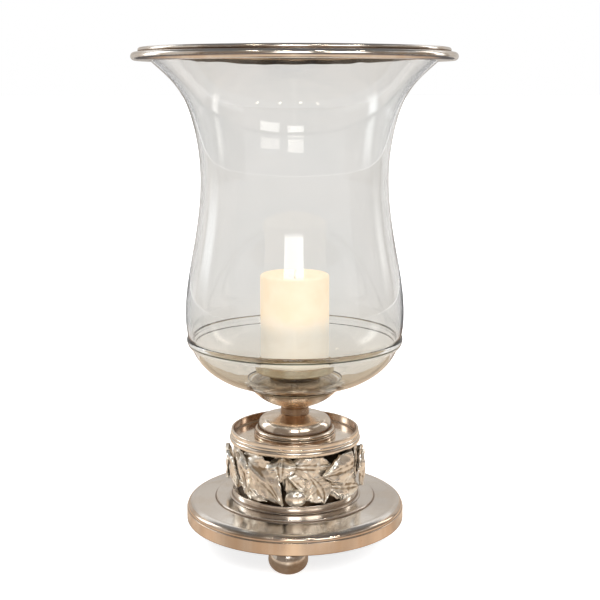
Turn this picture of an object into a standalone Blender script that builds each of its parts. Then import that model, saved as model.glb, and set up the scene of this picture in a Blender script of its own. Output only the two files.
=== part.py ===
"""Hurricane lantern: a bell-shaped glass with a silver-plated rim, standing on a turned socle.

The socle stands in a beaded tray, the tray on a drum wrapped in a cast leaf garland, and the
drum on a stepped round base with three ball feet. One tie rod clamps the whole stack, from the
candle plate inside the glass down to a nut under the base. The candle is loose on its plate.

Units are metres, +Z is up, the front faces -Y. The origin is on the floor, on the lantern's axis.
"""

import math

import bmesh
import bpy
from mathutils import Vector

# Clearance between two pieces that touch in the real lantern
CLEARANCE = 0.0003

# Bevel on the edges of the turned pieces
EDGE = 0.0006

# Feet
FOOT_COUNT = 3
FOOT_NAMES = ("foot_front", "foot_rear_right", "foot_rear_left")
FOOT_INSET = 0.0403
FOOT_TURN = math.radians(-5.3)
FOOT_BALL_RADIUS = 0.0198
FOOT_BALL_DROP = 0.0145
FOOT_BALL_RISE = 0.0213
FOOT_HEIGHT = 0.0320
FOOT_CENTRE_HEIGHT = 0.0127

# Screws that hold the feet
FOOT_SCREW_RADIUS = 0.0025
FOOT_SCREW_REACH = 0.014
FOOT_SCREW_HEAD_RADIUS = 0.0046
FOOT_SCREW_HEAD_HEIGHT = 0.0032
SCREW_HOLE_CLEARANCE = 0.0004

# Ballast plate inside the base
BALLAST_THICKNESS = 0.0087

# Base cover, a spun shell
BASE_RADIUS = 0.1123
BASE_WALL = 0.0025
BASE_BAND_HEIGHT = 0.0129
BASE_GROOVE_DEPTH = 0.0010
BASE_GROOVE_HEIGHT = 0.0012
BASE_OVOLO_WIDTH = 0.0098
BASE_OVOLO_HEIGHT = 0.0056
BASE_SLOPE_RISE = 0.0021
BASE_STEP_RADIUS = 0.0817
BASE_STEP_HEIGHT = 0.0020

# Collar round the foot of the drum
COLLAR_PROUD = 0.0056
COLLAR_HEIGHT = 0.0074
COLLAR_FLARE_WIDTH = 0.0032
COLLAR_FLARE_HEIGHT = 0.0024

# Drum that carries the tray and the leaves
DRUM_RADIUS = 0.0593
DRUM_WALL = 0.0030
DRUM_HEIGHT = 0.0591

# Gallery tray with a beaded wall
TRAY_OVERHANG = 0.0063
TRAY_WALL = 0.0024
TRAY_FLOOR = 0.0025
TRAY_DEPTH = 0.0085
TRAY_BEAD_SMALL = 0.0015
TRAY_BEAD_SMALL_PROUD = 0.0008
TRAY_BEAD_LARGE = 0.0028
TRAY_BEAD_LARGE_PROUD = 0.0017
TRAY_BAND_HEIGHT = 0.0040

# Socle, the hollow turned foot of the glass cup
SOCLE_RADIUS = 0.0421
SOCLE_BAND_HEIGHT = 0.0043
SOCLE_BEAD_RADIUS = 0.0412
SOCLE_BEAD_HEIGHT = 0.0046
SOCLE_SHOULDER_RADIUS = 0.0385
SOCLE_SHOULDER_HEIGHT = 0.0112
SOCLE_CONE_RADIUS = 0.0310
SOCLE_CONE_HEIGHT = 0.0035
SOCLE_WALL = 0.0030

# Cup that carries the glass, with its neck
NECK_RADIUS = 0.0148
NECK_HEIGHT = 0.0091
CUP_RADIUS = 0.0450
CUP_HEIGHT = 0.0174
CUP_FOOT_RADIUS = 0.0160
CUP_BELLY_RADIUS = 0.0325
CUP_BELLY_DROP = 0.0140
CUP_WALL = 0.0024
CUP_LAND = 0.0060

# Felt rings above and below the glass
FELT_THICKNESS = 0.0012
LOWER_FELT_INSET = 0.0006
UPPER_FELT_WIDTH = 0.0180

# Glass vessel: outer radius at stations up its side, each with its rise above the one before
GLASS_FOOT_RADIUS = 0.0570
GLASS_BOWL_LOW_RADIUS = 0.0781
GLASS_BOWL_LOW_RISE = 0.0120
GLASS_BOWL_HIGH_RADIUS = 0.0962
GLASS_BOWL_HIGH_RISE = 0.0155
GLASS_SHOULDER_RADIUS = 0.1063
GLASS_SHOULDER_RISE = 0.0200
GLASS_BELLY_RADIUS = 0.1100
GLASS_BELLY_RISE = 0.0325
GLASS_WAIST_LOW_RADIUS = 0.1004
GLASS_WAIST_LOW_RISE = 0.0710
GLASS_WAIST_RADIUS = 0.0932
GLASS_WAIST_RISE = 0.0600
GLASS_THROAT_RADIUS = 0.1015
GLASS_THROAT_RISE = 0.0613
GLASS_FLARE_RADIUS = 0.1196
GLASS_FLARE_RISE = 0.0345
GLASS_LIP_WIDTH = 0.0290
GLASS_LIP_RISE = 0.0266
GLASS_WALL = 0.0040
GLASS_FLOOR = 0.0045
GLASS_HOLE_RADIUS = 0.0060
GLASS_BEAD_ABOVE_SHOULDER = 0.0012
GLASS_BEAD_HALF_WIDTH = 0.0048
GLASS_BEAD_PROUD = 0.0024

# Rim collar, rolled over the lip of the glass
RIM_ROLL_RADIUS = 0.0040
RIM_ROLL_OUT = 0.00670
RIM_ROLL_AHEAD = 0.00213
RIM_CREST_RADIUS = 0.0023
RIM_CREST_IN = 0.00152
RIM_CREST_AHEAD = 0.00234
RIM_FLANGE = 0.0013
RIM_GRIP_INSIDE = 0.0105
RIM_GRIP_OUTSIDE = 0.0074

# Candle plate and its foot
PLATE_RADIUS = 0.0404
PLATE_RIM_WALL = 0.0018
PLATE_RIM_HEIGHT = 0.0060
PLATE_THICKNESS = 0.0042
PLATE_FOOT_TOP_RADIUS = 0.0310
PLATE_FOOT_RADIUS = 0.0265
PLATE_FOOT_HEIGHT = 0.0084

# Candle and wick
CANDLE_RADIUS = 0.0350
CANDLE_HEIGHT = 0.0970
CANDLE_EDGE = 0.0025
CANDLE_POOL_DEPTH = 0.0050
CANDLE_POOL_FLAT_RADIUS = 0.0190
CANDLE_POOL_SLOPE_RADIUS = 0.0280
WICK_RADIUS = 0.0011
WICK_SUNK = 0.0140
WICK_STICKS_OUT = 0.0090
WICK_CLEARANCE = 0.0004

# Tie rod that clamps the stack
ROD_RADIUS = 0.0040
ROD_CLEARANCE = 0.0005
ROD_HEAD_RADIUS = 0.0080
ROD_HEAD_HEIGHT = 0.0042
ROD_HEAD_SUNK = 0.0050
NUT_ACROSS_FLATS = 0.0130
NUT_HEIGHT = 0.0065
WASHER_RADIUS = 0.0100
WASHER_THICKNESS = 0.0016
ROD_PAST_NUT = 0.0030

# Garland of cast leaves
LEAF_THICKNESS = 0.0012
LEAF_FOLD = 0.0021
LEAF_ARCH = 0.0005
LEAF_LAYER_GAP = 0.0005
GARLAND_MARGIN = 0.0005
BERRY_DEPTH = 0.0120

# Facets
STEPS_LARGE = 32
STEPS_MEDIUM = 24
STEPS_SMALL = 16
STEPS_BALL = 14
STEPS_PIN = 10
SHARP_ANGLE = math.radians(38)

# Heights of the stack, from the floor up
BASE_BOTTOM = FOOT_HEIGHT + CLEARANCE
BASE_BAND_TOP = BASE_BOTTOM + BASE_BAND_HEIGHT
BASE_OVOLO_BOTTOM = BASE_BAND_TOP + BASE_GROOVE_HEIGHT
BASE_OVOLO_TOP = BASE_OVOLO_BOTTOM + BASE_OVOLO_HEIGHT
BASE_SLOPE_TOP = BASE_OVOLO_TOP + BASE_SLOPE_RISE
BASE_TOP = BASE_SLOPE_TOP + BASE_STEP_HEIGHT
BALLAST_TOP = BASE_BOTTOM + BALLAST_THICKNESS
DRUM_BOTTOM = BASE_TOP + CLEARANCE
DRUM_TOP = DRUM_BOTTOM + DRUM_HEIGHT
COLLAR_BOTTOM = BASE_TOP + CLEARANCE
COLLAR_TOP = COLLAR_BOTTOM + COLLAR_HEIGHT
TRAY_FLOOR_BOTTOM = DRUM_TOP + CLEARANCE
TRAY_FLOOR_TOP = TRAY_FLOOR_BOTTOM + TRAY_FLOOR
TRAY_TOP = TRAY_FLOOR_TOP + TRAY_DEPTH
TRAY_BOTTOM = TRAY_TOP - TRAY_BAND_HEIGHT - 2 * TRAY_BEAD_SMALL - 2 * TRAY_BEAD_LARGE
SOCLE_BOTTOM = TRAY_FLOOR_TOP + CLEARANCE
SOCLE_BAND_TOP = SOCLE_BOTTOM + SOCLE_BAND_HEIGHT
SOCLE_SHOULDER_BOTTOM = SOCLE_BAND_TOP + SOCLE_BEAD_HEIGHT
SOCLE_CONE_BOTTOM = SOCLE_SHOULDER_BOTTOM + SOCLE_SHOULDER_HEIGHT
SOCLE_TOP = SOCLE_CONE_BOTTOM + SOCLE_CONE_HEIGHT
NECK_BOTTOM = SOCLE_TOP + CLEARANCE
CUP_BOTTOM = NECK_BOTTOM + NECK_HEIGHT
CUP_TOP = CUP_BOTTOM + CUP_HEIGHT
LOWER_FELT_BOTTOM = CUP_TOP + CLEARANCE
GLASS_BOTTOM = LOWER_FELT_BOTTOM + FELT_THICKNESS + CLEARANCE
GLASS_FLOOR_TOP = GLASS_BOTTOM + GLASS_FLOOR
UPPER_FELT_BOTTOM = GLASS_FLOOR_TOP + CLEARANCE
PLATE_FOOT_BOTTOM = UPPER_FELT_BOTTOM + FELT_THICKNESS + CLEARANCE
PLATE_BOTTOM = PLATE_FOOT_BOTTOM + PLATE_FOOT_HEIGHT
PLATE_FLOOR = PLATE_BOTTOM + PLATE_THICKNESS
PLATE_TOP = PLATE_FLOOR + PLATE_RIM_HEIGHT
CANDLE_BOTTOM = PLATE_FLOOR + CLEARANCE
CANDLE_TOP = CANDLE_BOTTOM + CANDLE_HEIGHT
COLLAR_RADIUS = DRUM_RADIUS + COLLAR_PROUD
TRAY_RADIUS = DRUM_RADIUS + TRAY_OVERHANG
ROD_BORE_RADIUS = ROD_RADIUS + ROD_CLEARANCE
ROD_SEAT = PLATE_FLOOR - ROD_HEAD_SUNK
FOOT_CIRCLE_RADIUS = BASE_RADIUS - FOOT_INSET
GLASS_BOWL_HIGH_HEIGHT = GLASS_BOWL_LOW_RISE + GLASS_BOWL_HIGH_RISE
GLASS_SHOULDER_HEIGHT = GLASS_BOWL_HIGH_HEIGHT + GLASS_SHOULDER_RISE
GLASS_BELLY_HEIGHT = GLASS_SHOULDER_HEIGHT + GLASS_BELLY_RISE
GLASS_WAIST_LOW_HEIGHT = GLASS_BELLY_HEIGHT + GLASS_WAIST_LOW_RISE
GLASS_WAIST_HEIGHT = GLASS_WAIST_LOW_HEIGHT + GLASS_WAIST_RISE
GLASS_THROAT_HEIGHT = GLASS_WAIST_HEIGHT + GLASS_THROAT_RISE
GLASS_FLARE_HEIGHT = GLASS_THROAT_HEIGHT + GLASS_FLARE_RISE
GLASS_LIP_HEIGHT = GLASS_FLARE_HEIGHT + GLASS_LIP_RISE
GLASS_BEAD_HEIGHT = GLASS_SHOULDER_HEIGHT + GLASS_BEAD_ABOVE_SHOULDER

# The garland fills the ring between the collar and the underside of the tray
GARLAND_BOTTOM = COLLAR_TOP + GARLAND_MARGIN
GARLAND_TOP = TRAY_BOTTOM - GARLAND_MARGIN
LEAF_LAYER_PITCH = LEAF_FOLD + LEAF_ARCH + LEAF_THICKNESS + LEAF_LAYER_GAP


# Scene and materials

def clear_scene():
    """Remove every object and leave an empty scene."""
    for obj in list(bpy.data.objects):
        bpy.data.objects.remove(obj, do_unlink=True)


def new_collection(name):
    """Make a collection in the scene."""
    collection = bpy.data.collections.new(name)
    bpy.context.scene.collection.children.link(collection)
    return collection


def new_material(name, colour, roughness, metallic, transmission=0.0):
    """Make a plain Principled material."""
    material = bpy.data.materials.new(name)
    material.use_nodes = True
    shader = material.node_tree.nodes["Principled BSDF"]
    shader.inputs["Base Color"].default_value = (*colour, 1.0)
    shader.inputs["Roughness"].default_value = roughness
    shader.inputs["Metallic"].default_value = metallic
    shader.inputs["Transmission Weight"].default_value = transmission
    material.diffuse_color = (*colour, 1.0)
    return material


def silver(name):
    """Bright silver plate."""
    return new_material(name, (0.78, 0.70, 0.62), 0.16, 1.0)


def cast_silver(name):
    """Silver plate on a rough casting, a little yellow."""
    return new_material(name, (0.70, 0.64, 0.52), 0.30, 1.0)


def steel(name):
    """Plain steel of the hidden fasteners."""
    return new_material(name, (0.45, 0.45, 0.46), 0.35, 1.0)


def felt(name):
    """Brown felt of the rings that cushion the glass."""
    return new_material(name, (0.16, 0.12, 0.09), 0.95, 0.0)


# Modelling helpers

def bake(obj):
    """Turn the modifiers of an object into plain mesh and shade it."""
    depsgraph = bpy.context.evaluated_depsgraph_get()
    mesh = bpy.data.meshes.new_from_object(obj.evaluated_get(depsgraph))
    draft = obj.data
    obj.modifiers.clear()
    obj.data = mesh
    bpy.data.meshes.remove(draft)
    mesh.name = obj.name
    mesh.shade_smooth()
    mesh.set_sharp_from_angle(angle=SHARP_ANGLE)
    return obj


def turned(name, outline, steps, material, location=(0.0, 0.0, 0.0)):
    """Turn an outline of (radius, height) points round the Z axis.

    The outline runs down the outer side and comes back up the inner side. One that begins and
    ends on the axis is left open there, and any other is closed.
    """
    on_axis = outline[0][0] == 0.0 and outline[-1][0] == 0.0
    points = [(radius, 0.0, height) for radius, height in outline]
    edges = [(i, i + 1) for i in range(len(points) - 1)]
    if not on_axis:
        edges.append((len(points) - 1, 0))
    mesh = bpy.data.meshes.new(name)
    mesh.from_pydata(points, edges, [])
    mesh.materials.append(material)
    obj = bpy.data.objects.new(name, mesh)
    obj.location = location
    parts.objects.link(obj)
    screw = obj.modifiers.new("Turn", "SCREW")
    screw.axis = "Z"
    screw.angle = math.tau
    screw.steps = steps
    screw.render_steps = steps
    screw.use_merge_vertices = True
    screw.merge_threshold = 0.00001
    return bake(obj)


def drill(obj, centres, radius, bottom, top):
    """Cut upright round holes through an object."""
    for number, (x, y) in enumerate(centres):
        mesh = bpy.data.meshes.new(f"{obj.name}_hole_{number}")
        form = bmesh.new()
        bmesh.ops.create_cone(
            form, cap_ends=True, segments=STEPS_PIN,
            radius1=radius, radius2=radius, depth=top - bottom,
        )
        form.to_mesh(mesh)
        form.free()
        cutter = bpy.data.objects.new(mesh.name, mesh)
        cutter.location = (x, y, (top + bottom) / 2)
        cutter.hide_render = True
        cutter.display_type = "WIRE"
        cutters.objects.link(cutter)
        cut = obj.modifiers.new("Hole", "BOOLEAN")
        cut.operation = "DIFFERENCE"
        cut.solver = "EXACT"
        cut.object = cutter


def arc(centre, radii, start, end, count):
    """Points of an arc, clockwise when start is above end, with angles in degrees."""
    points = []
    for i in range(count):
        angle = math.radians(start + (end - start) * i / (count - 1))
        points.append((centre[0] + radii[0] * math.cos(angle), centre[1] + radii[1] * math.sin(angle)))
    return points


def bow(start, control, end, count):
    """Points of a curve bowed towards a control point, both ends included."""
    points = []
    for i in range(count):
        t = i / (count - 1)
        weights = ((1 - t) ** 2, 2 * t * (1 - t), t**2)
        points.append(tuple(
            sum(weight * point[k] for weight, point in zip(weights, (start, control, end)))
            for k in range(2)
        ))
    return points


def set_in(points, depth):
    """The points of an outline that runs down its outer side, set in square to it."""
    moved = []
    for i, (radius, height) in enumerate(points):
        before = points[max(i - 1, 0)]
        after = points[min(i + 1, len(points) - 1)]
        run = (after[0] - before[0], after[1] - before[1])
        length = math.hypot(*run)
        moved.append((radius + run[1] / length * depth, height - run[0] / length * depth))
    return moved


def ring_outline(inner, outer, bottom, top):
    """Outline of a flat ring with a rectangular section."""
    return [(outer, top), (outer, bottom), (inner, bottom), (inner, top)]


# Profile of the glass, which the rim collar follows too

GLASS_STATIONS = (
    (0.0, GLASS_FOOT_RADIUS),
    (GLASS_BOWL_LOW_RISE, GLASS_BOWL_LOW_RADIUS),
    (GLASS_BOWL_HIGH_HEIGHT, GLASS_BOWL_HIGH_RADIUS),
    (GLASS_SHOULDER_HEIGHT, GLASS_SHOULDER_RADIUS),
    (GLASS_BELLY_HEIGHT, GLASS_BELLY_RADIUS),
    (GLASS_WAIST_LOW_HEIGHT, GLASS_WAIST_LOW_RADIUS),
    (GLASS_WAIST_HEIGHT, GLASS_WAIST_RADIUS),
    (GLASS_THROAT_HEIGHT, GLASS_THROAT_RADIUS),
    (GLASS_FLARE_HEIGHT, GLASS_FLARE_RADIUS),
    (GLASS_LIP_HEIGHT, GLASS_FLARE_RADIUS + GLASS_LIP_WIDTH),
)


def station_slope(index):
    """Slope of radius over height at a station, from the stations on either side."""
    last = len(GLASS_STATIONS) - 1
    low = GLASS_STATIONS[max(index - 1, 0)]
    high = GLASS_STATIONS[min(index + 1, last)]
    here = GLASS_STATIONS[index]
    if index in (0, last):
        return (high[1] - low[1]) / (high[0] - low[0])
    below = (here[1] - low[1]) / (here[0] - low[0])
    above = (high[1] - here[1]) / (high[0] - here[0])
    share = (high[0] - here[0]) / (high[0] - low[0])
    return below * share + above * (1 - share)


def glass_radius(height):
    """Outer radius of the glass at a height above its underside, without the bead."""
    index = 0
    while index < len(GLASS_STATIONS) - 2 and height > GLASS_STATIONS[index + 1][0]:
        index += 1
    z0, r0 = GLASS_STATIONS[index]
    z1, r1 = GLASS_STATIONS[index + 1]
    span = z1 - z0
    t = (height - z0) / span
    m0 = station_slope(index) * span
    m1 = station_slope(index + 1) * span
    return (
        (2 * t**3 - 3 * t**2 + 1) * r0 + (t**3 - 2 * t**2 + t) * m0
        + (3 * t**2 - 2 * t**3) * r1 + (t**3 - t**2) * m1
    )


def glass_point(height, inset):
    """Point (radius, z) set in from the outer face of the glass, square to it."""
    step = 0.0001
    low = max(height - step, 0.0)
    high = min(height + step, GLASS_LIP_HEIGHT)
    slope = (glass_radius(high) - glass_radius(low)) / (high - low)
    length = math.hypot(1.0, slope)
    return (
        glass_radius(height) - inset / length,
        GLASS_BOTTOM + height + inset * slope / length,
    )


def glass_heights():
    """Heights at which the glass is drawn: its stations, and one between each two of the body."""
    heights = []
    for (z0, _), (z1, _) in zip(GLASS_STATIONS, GLASS_STATIONS[1:]):
        heights.append(z0)
        if z0 >= GLASS_SHOULDER_HEIGHT:
            heights.append((z0 + z1) / 2)
    return heights + [GLASS_LIP_HEIGHT]


def glass_outer_points():
    """Outer face of the glass from the lip down, with the applied bead."""
    points = []
    for height in reversed(glass_heights()):
        if abs(height - GLASS_BEAD_HEIGHT) > GLASS_BEAD_HALF_WIDTH:
            points.append((height, 0.0))
    for radius, rise in arc((0.0, 0.0), (GLASS_BEAD_PROUD, GLASS_BEAD_HALF_WIDTH), 90, -90, 5):
        points.append((GLASS_BEAD_HEIGHT + rise, radius))
    points.sort(key=lambda point: -point[0])
    return [glass_point(height, -proud) for height, proud in points]


def glass_inner_points():
    """Inner face of the glass from the floor up to the lip."""
    wall = [glass_point(height, GLASS_WALL) for height in glass_heights()]
    above = [point for point in wall if point[1] > GLASS_FLOOR_TOP + CLEARANCE]
    below = [point for point in wall if point[1] <= GLASS_FLOOR_TOP + CLEARANCE]
    if below:
        low, high = below[-1], above[0]
        share = (GLASS_FLOOR_TOP - low[1]) / (high[1] - low[1])
        edge = low[0] + (high[0] - low[0]) * share
    else:
        edge = above[0][0]
    return [(GLASS_HOLE_RADIUS, GLASS_FLOOR_TOP), (edge, GLASS_FLOOR_TOP)] + above


# Pieces of the base

def foot_places():
    """Centres of the feet, the front one first."""
    places = []
    for i in range(FOOT_COUNT):
        angle = FOOT_TURN + math.tau * i / FOOT_COUNT
        places.append((FOOT_CIRCLE_RADIUS * math.sin(angle), -FOOT_CIRCLE_RADIUS * math.cos(angle)))
    return places


def make_feet():
    """Ball feet, flat on the floor and on top, with a blind hole for their screw."""
    hole = FOOT_SCREW_RADIUS + SCREW_HOLE_CLEARANCE
    hole_bottom = FOOT_HEIGHT - FOOT_SCREW_REACH - CLEARANCE
    ball = (0.0, FOOT_CENTRE_HEIGHT)
    top = math.degrees(math.asin((FOOT_HEIGHT - FOOT_CENTRE_HEIGHT) / FOOT_BALL_RISE))
    bottom = math.degrees(math.asin(-FOOT_CENTRE_HEIGHT / FOOT_BALL_DROP))
    outline = arc(ball, (FOOT_BALL_RADIUS, FOOT_BALL_RISE), top, 0, 4)
    outline += arc(ball, (FOOT_BALL_RADIUS, FOOT_BALL_DROP), 0, bottom, 4)[1:]
    outline = [(0.0, hole_bottom), (hole, hole_bottom), (hole, FOOT_HEIGHT)] + outline + [(0.0, 0.0)]
    for name, (x, y) in zip(FOOT_NAMES, foot_places()):
        turned(name, outline, STEPS_BALL, silver(name), (x, y, 0.0))


def make_foot_screws():
    """Pan-head screws, from above through the ballast plate into each foot."""
    seat = BALLAST_TOP + CLEARANCE
    tip = FOOT_HEIGHT - FOOT_SCREW_REACH
    outline = [
        (0.0, seat + FOOT_SCREW_HEAD_HEIGHT),
        (FOOT_SCREW_HEAD_RADIUS - 2 * EDGE, seat + FOOT_SCREW_HEAD_HEIGHT),
        (FOOT_SCREW_HEAD_RADIUS, seat + FOOT_SCREW_HEAD_HEIGHT - 2 * EDGE),
        (FOOT_SCREW_HEAD_RADIUS, seat),
        (FOOT_SCREW_RADIUS, seat),
        (FOOT_SCREW_RADIUS, tip + EDGE),
        (FOOT_SCREW_RADIUS - EDGE, tip),
        (0.0, tip),
    ]
    for name, (x, y) in zip(FOOT_NAMES, foot_places()):
        screw_name = name.replace("foot", "foot_screw")
        turned(screw_name, outline, STEPS_PIN - 2, steel(screw_name), (x, y, 0.0))


def make_ballast_plate():
    """Heavy disc inside the base cover, bored for the tie rod and the foot screws."""
    outer = BASE_RADIUS - BASE_WALL - CLEARANCE
    outline = ring_outline(ROD_BORE_RADIUS, outer, BASE_BOTTOM, BALLAST_TOP)
    plate = turned("ballast_plate", outline, STEPS_LARGE, new_material(
        "ballast_plate", (0.22, 0.21, 0.20), 0.6, 1.0))
    hole = FOOT_SCREW_RADIUS + SCREW_HOLE_CLEARANCE
    drill(plate, foot_places(), hole, BASE_BOTTOM - BALLAST_THICKNESS, BALLAST_TOP + BALLAST_THICKNESS)
    bake(plate)


def base_outer_points():
    """Outer face of the base cover, from the rod bore out and down to the floor edge."""
    ovolo_inner = BASE_RADIUS - BASE_GROOVE_DEPTH - BASE_OVOLO_WIDTH
    ovolo = arc((ovolo_inner, BASE_OVOLO_BOTTOM), (BASE_OVOLO_WIDTH, BASE_OVOLO_HEIGHT), 90, 0, 4)
    lip = BASE_RADIUS - BASE_GROOVE_DEPTH
    return [
        (ROD_BORE_RADIUS, BASE_TOP),
        (BASE_STEP_RADIUS - EDGE, BASE_TOP),
        (BASE_STEP_RADIUS, BASE_TOP - EDGE),
        (BASE_STEP_RADIUS, BASE_SLOPE_TOP),
        *ovolo,
        (lip, BASE_BAND_TOP),
        (BASE_RADIUS, BASE_BAND_TOP - BASE_GROOVE_DEPTH / 2),
        (BASE_RADIUS, BASE_BOTTOM),
    ]


def make_base_cover():
    """Spun shell of the base: raised step, gentle slope, ovolo, groove and upright band."""
    inner_band = BASE_RADIUS - BASE_WALL
    shoulder = BALLAST_TOP + CLEARANCE
    ovolo_inner = BASE_RADIUS - BASE_GROOVE_DEPTH - BASE_OVOLO_WIDTH
    inner = [
        (inner_band, BASE_BOTTOM),
        (inner_band, shoulder),
        (inner_band - BASE_WALL, shoulder),
        (ovolo_inner, BASE_OVOLO_TOP - BASE_WALL),
        (BASE_STEP_RADIUS - BASE_WALL, BASE_SLOPE_TOP - BASE_WALL),
        (BASE_STEP_RADIUS - BASE_WALL, BASE_TOP - BASE_WALL),
        (ROD_BORE_RADIUS, BASE_TOP - BASE_WALL),
    ]
    turned("base_cover", base_outer_points() + inner, STEPS_LARGE, silver("base_cover"))


def make_base_collar():
    """Ring with a flared foot that the drum stands in."""
    inner = DRUM_RADIUS + CLEARANCE
    flare_top = COLLAR_BOTTOM + COLLAR_FLARE_HEIGHT
    flare_centre = (COLLAR_RADIUS + COLLAR_FLARE_WIDTH, flare_top)
    flare = arc(flare_centre, (COLLAR_FLARE_WIDTH, COLLAR_FLARE_HEIGHT), 180, 260, 3)
    outline = [
        (COLLAR_RADIUS - EDGE, COLLAR_TOP),
        (COLLAR_RADIUS, COLLAR_TOP - EDGE),
        *flare,
        (COLLAR_RADIUS + COLLAR_FLARE_WIDTH, COLLAR_BOTTOM),
        (inner, COLLAR_BOTTOM),
        (inner, COLLAR_TOP),
    ]
    turned("base_collar", outline, STEPS_LARGE, silver("base_collar"))


def make_drum():
    """Dark tube that carries the tray, with the garland round it."""
    outline = ring_outline(DRUM_RADIUS - DRUM_WALL, DRUM_RADIUS, DRUM_BOTTOM, DRUM_TOP)
    turned("drum", outline, STEPS_LARGE, new_material("drum", (0.05, 0.04, 0.03), 0.45, 0.8))


# Tray and socle

def make_gallery_tray():
    """Round tray whose wall has a flat band over a small and a large bead."""
    small_centre = TRAY_TOP - TRAY_BAND_HEIGHT - TRAY_BEAD_SMALL
    large_centre = small_centre - TRAY_BEAD_SMALL - TRAY_BEAD_LARGE
    inner = TRAY_RADIUS - TRAY_WALL
    skirt = inner - TRAY_FLOOR / 2
    outline = [
        (TRAY_RADIUS - EDGE, TRAY_TOP),
        (TRAY_RADIUS, TRAY_TOP - EDGE),
        *arc((TRAY_RADIUS, small_centre), (TRAY_BEAD_SMALL_PROUD, TRAY_BEAD_SMALL), 90, -90, 4),
        *arc((TRAY_RADIUS, large_centre), (TRAY_BEAD_LARGE_PROUD, TRAY_BEAD_LARGE), 50, -90, 5),
        (inner, TRAY_BOTTOM),
        (skirt, TRAY_FLOOR_BOTTOM),
        (ROD_BORE_RADIUS, TRAY_FLOOR_BOTTOM),
        (ROD_BORE_RADIUS, TRAY_FLOOR_TOP),
        (inner - EDGE, TRAY_FLOOR_TOP),
        (inner, TRAY_FLOOR_TOP + EDGE),
        (inner, TRAY_TOP - EDGE),
        (inner + EDGE, TRAY_TOP),
    ]
    turned("gallery_tray", outline, STEPS_LARGE, silver("gallery_tray"))


def make_socle():
    """Hollow turned foot: upright band, bead, round shoulder and a low cone under the neck."""
    bead = SOCLE_BEAD_HEIGHT / 2
    bead_centre = (SOCLE_BEAD_RADIUS - bead, SOCLE_BAND_TOP + bead)
    shoulder_centre = (SOCLE_CONE_RADIUS, SOCLE_SHOULDER_BOTTOM)
    shoulder_radii = (SOCLE_SHOULDER_RADIUS - SOCLE_CONE_RADIUS, SOCLE_SHOULDER_HEIGHT)
    band_inside = SOCLE_RADIUS - SOCLE_WALL
    cavity_top = SOCLE_CONE_BOTTOM - SOCLE_WALL
    outline = [
        (NECK_RADIUS + CLEARANCE, SOCLE_TOP),
        (SOCLE_CONE_RADIUS, SOCLE_CONE_BOTTOM),
        *arc(shoulder_centre, shoulder_radii, 80, 0, 5),
        *arc(bead_centre, (bead, bead), 70, -70, 4),
        (SOCLE_RADIUS - EDGE, SOCLE_BAND_TOP),
        (SOCLE_RADIUS, SOCLE_BAND_TOP - EDGE),
        (SOCLE_RADIUS, SOCLE_BOTTOM),
        (band_inside, SOCLE_BOTTOM),
        (band_inside, SOCLE_BAND_TOP - EDGE),
        (SOCLE_SHOULDER_RADIUS - SOCLE_WALL, SOCLE_SHOULDER_BOTTOM),
        (SOCLE_CONE_RADIUS - SOCLE_WALL, cavity_top),
        (ROD_BORE_RADIUS, cavity_top),
        (ROD_BORE_RADIUS, SOCLE_TOP),
    ]
    turned("socle", outline, STEPS_MEDIUM, silver("socle"))


def make_glass_cup():
    """Saucer with a neck, which takes the underside of the glass on a flat land."""
    belly = (CUP_BELLY_RADIUS, CUP_TOP - CUP_BELLY_DROP)
    outside = bow((CUP_RADIUS, CUP_TOP), belly, (CUP_FOOT_RADIUS, CUP_BOTTOM), 5)
    land = CUP_RADIUS - CUP_LAND
    inside = [
        point for point in set_in(outside, CUP_WALL)
        if point[0] < land and point[1] < CUP_TOP - CUP_WALL / 2
    ]
    outline = [
        *outside,
        (NECK_RADIUS, CUP_BOTTOM - (CUP_FOOT_RADIUS - NECK_RADIUS)),
        (NECK_RADIUS, NECK_BOTTOM),
        (ROD_BORE_RADIUS, NECK_BOTTOM),
        (ROD_BORE_RADIUS, inside[-1][1]),
        *reversed(inside),
        (land, CUP_TOP),
    ]
    turned("glass_cup", outline, STEPS_MEDIUM, silver("glass_cup"))


# Glass, its felts and its rim

def make_felts():
    """Felt rings that keep metal off the glass, one on each side of its floor."""
    outer = CUP_RADIUS - LOWER_FELT_INSET
    inner = CUP_RADIUS - CUP_LAND + LOWER_FELT_INSET
    lower = ring_outline(inner, outer, LOWER_FELT_BOTTOM, LOWER_FELT_BOTTOM + FELT_THICKNESS)
    turned("lower_felt", lower, STEPS_SMALL, felt("lower_felt"))
    outer = PLATE_FOOT_RADIUS - LOWER_FELT_INSET
    upper = ring_outline(
        outer - UPPER_FELT_WIDTH, outer, UPPER_FELT_BOTTOM, UPPER_FELT_BOTTOM + FELT_THICKNESS)
    turned("upper_felt", upper, STEPS_SMALL, felt("upper_felt"))


def make_glass_vessel():
    """Blown bell with a flat floor, bored for the tie rod, and a bead round its shoulder."""
    outline = (
        glass_outer_points()
        + [(GLASS_HOLE_RADIUS, GLASS_BOTTOM)]
        + glass_inner_points()
    )
    turned("glass_vessel", outline, STEPS_LARGE, new_material(
        "glass_vessel", (0.93, 0.94, 0.90), 0.02, 0.0, 1.0))


def lip_place(out, ahead):
    """Point (radius, z) that lies out from the lip, square to the glass, and ahead of it."""
    lip = glass_point(GLASS_LIP_HEIGHT, 0.0)
    below = glass_point(GLASS_LIP_HEIGHT - GLASS_WALL / 4, 0.0)
    run = (lip[0] - below[0], lip[1] - below[1])
    length = math.hypot(*run)
    along = (run[0] / length, run[1] / length)
    return (
        lip[0] + out * along[1] + ahead * along[0],
        lip[1] - out * along[0] + ahead * along[1],
    )


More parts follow.
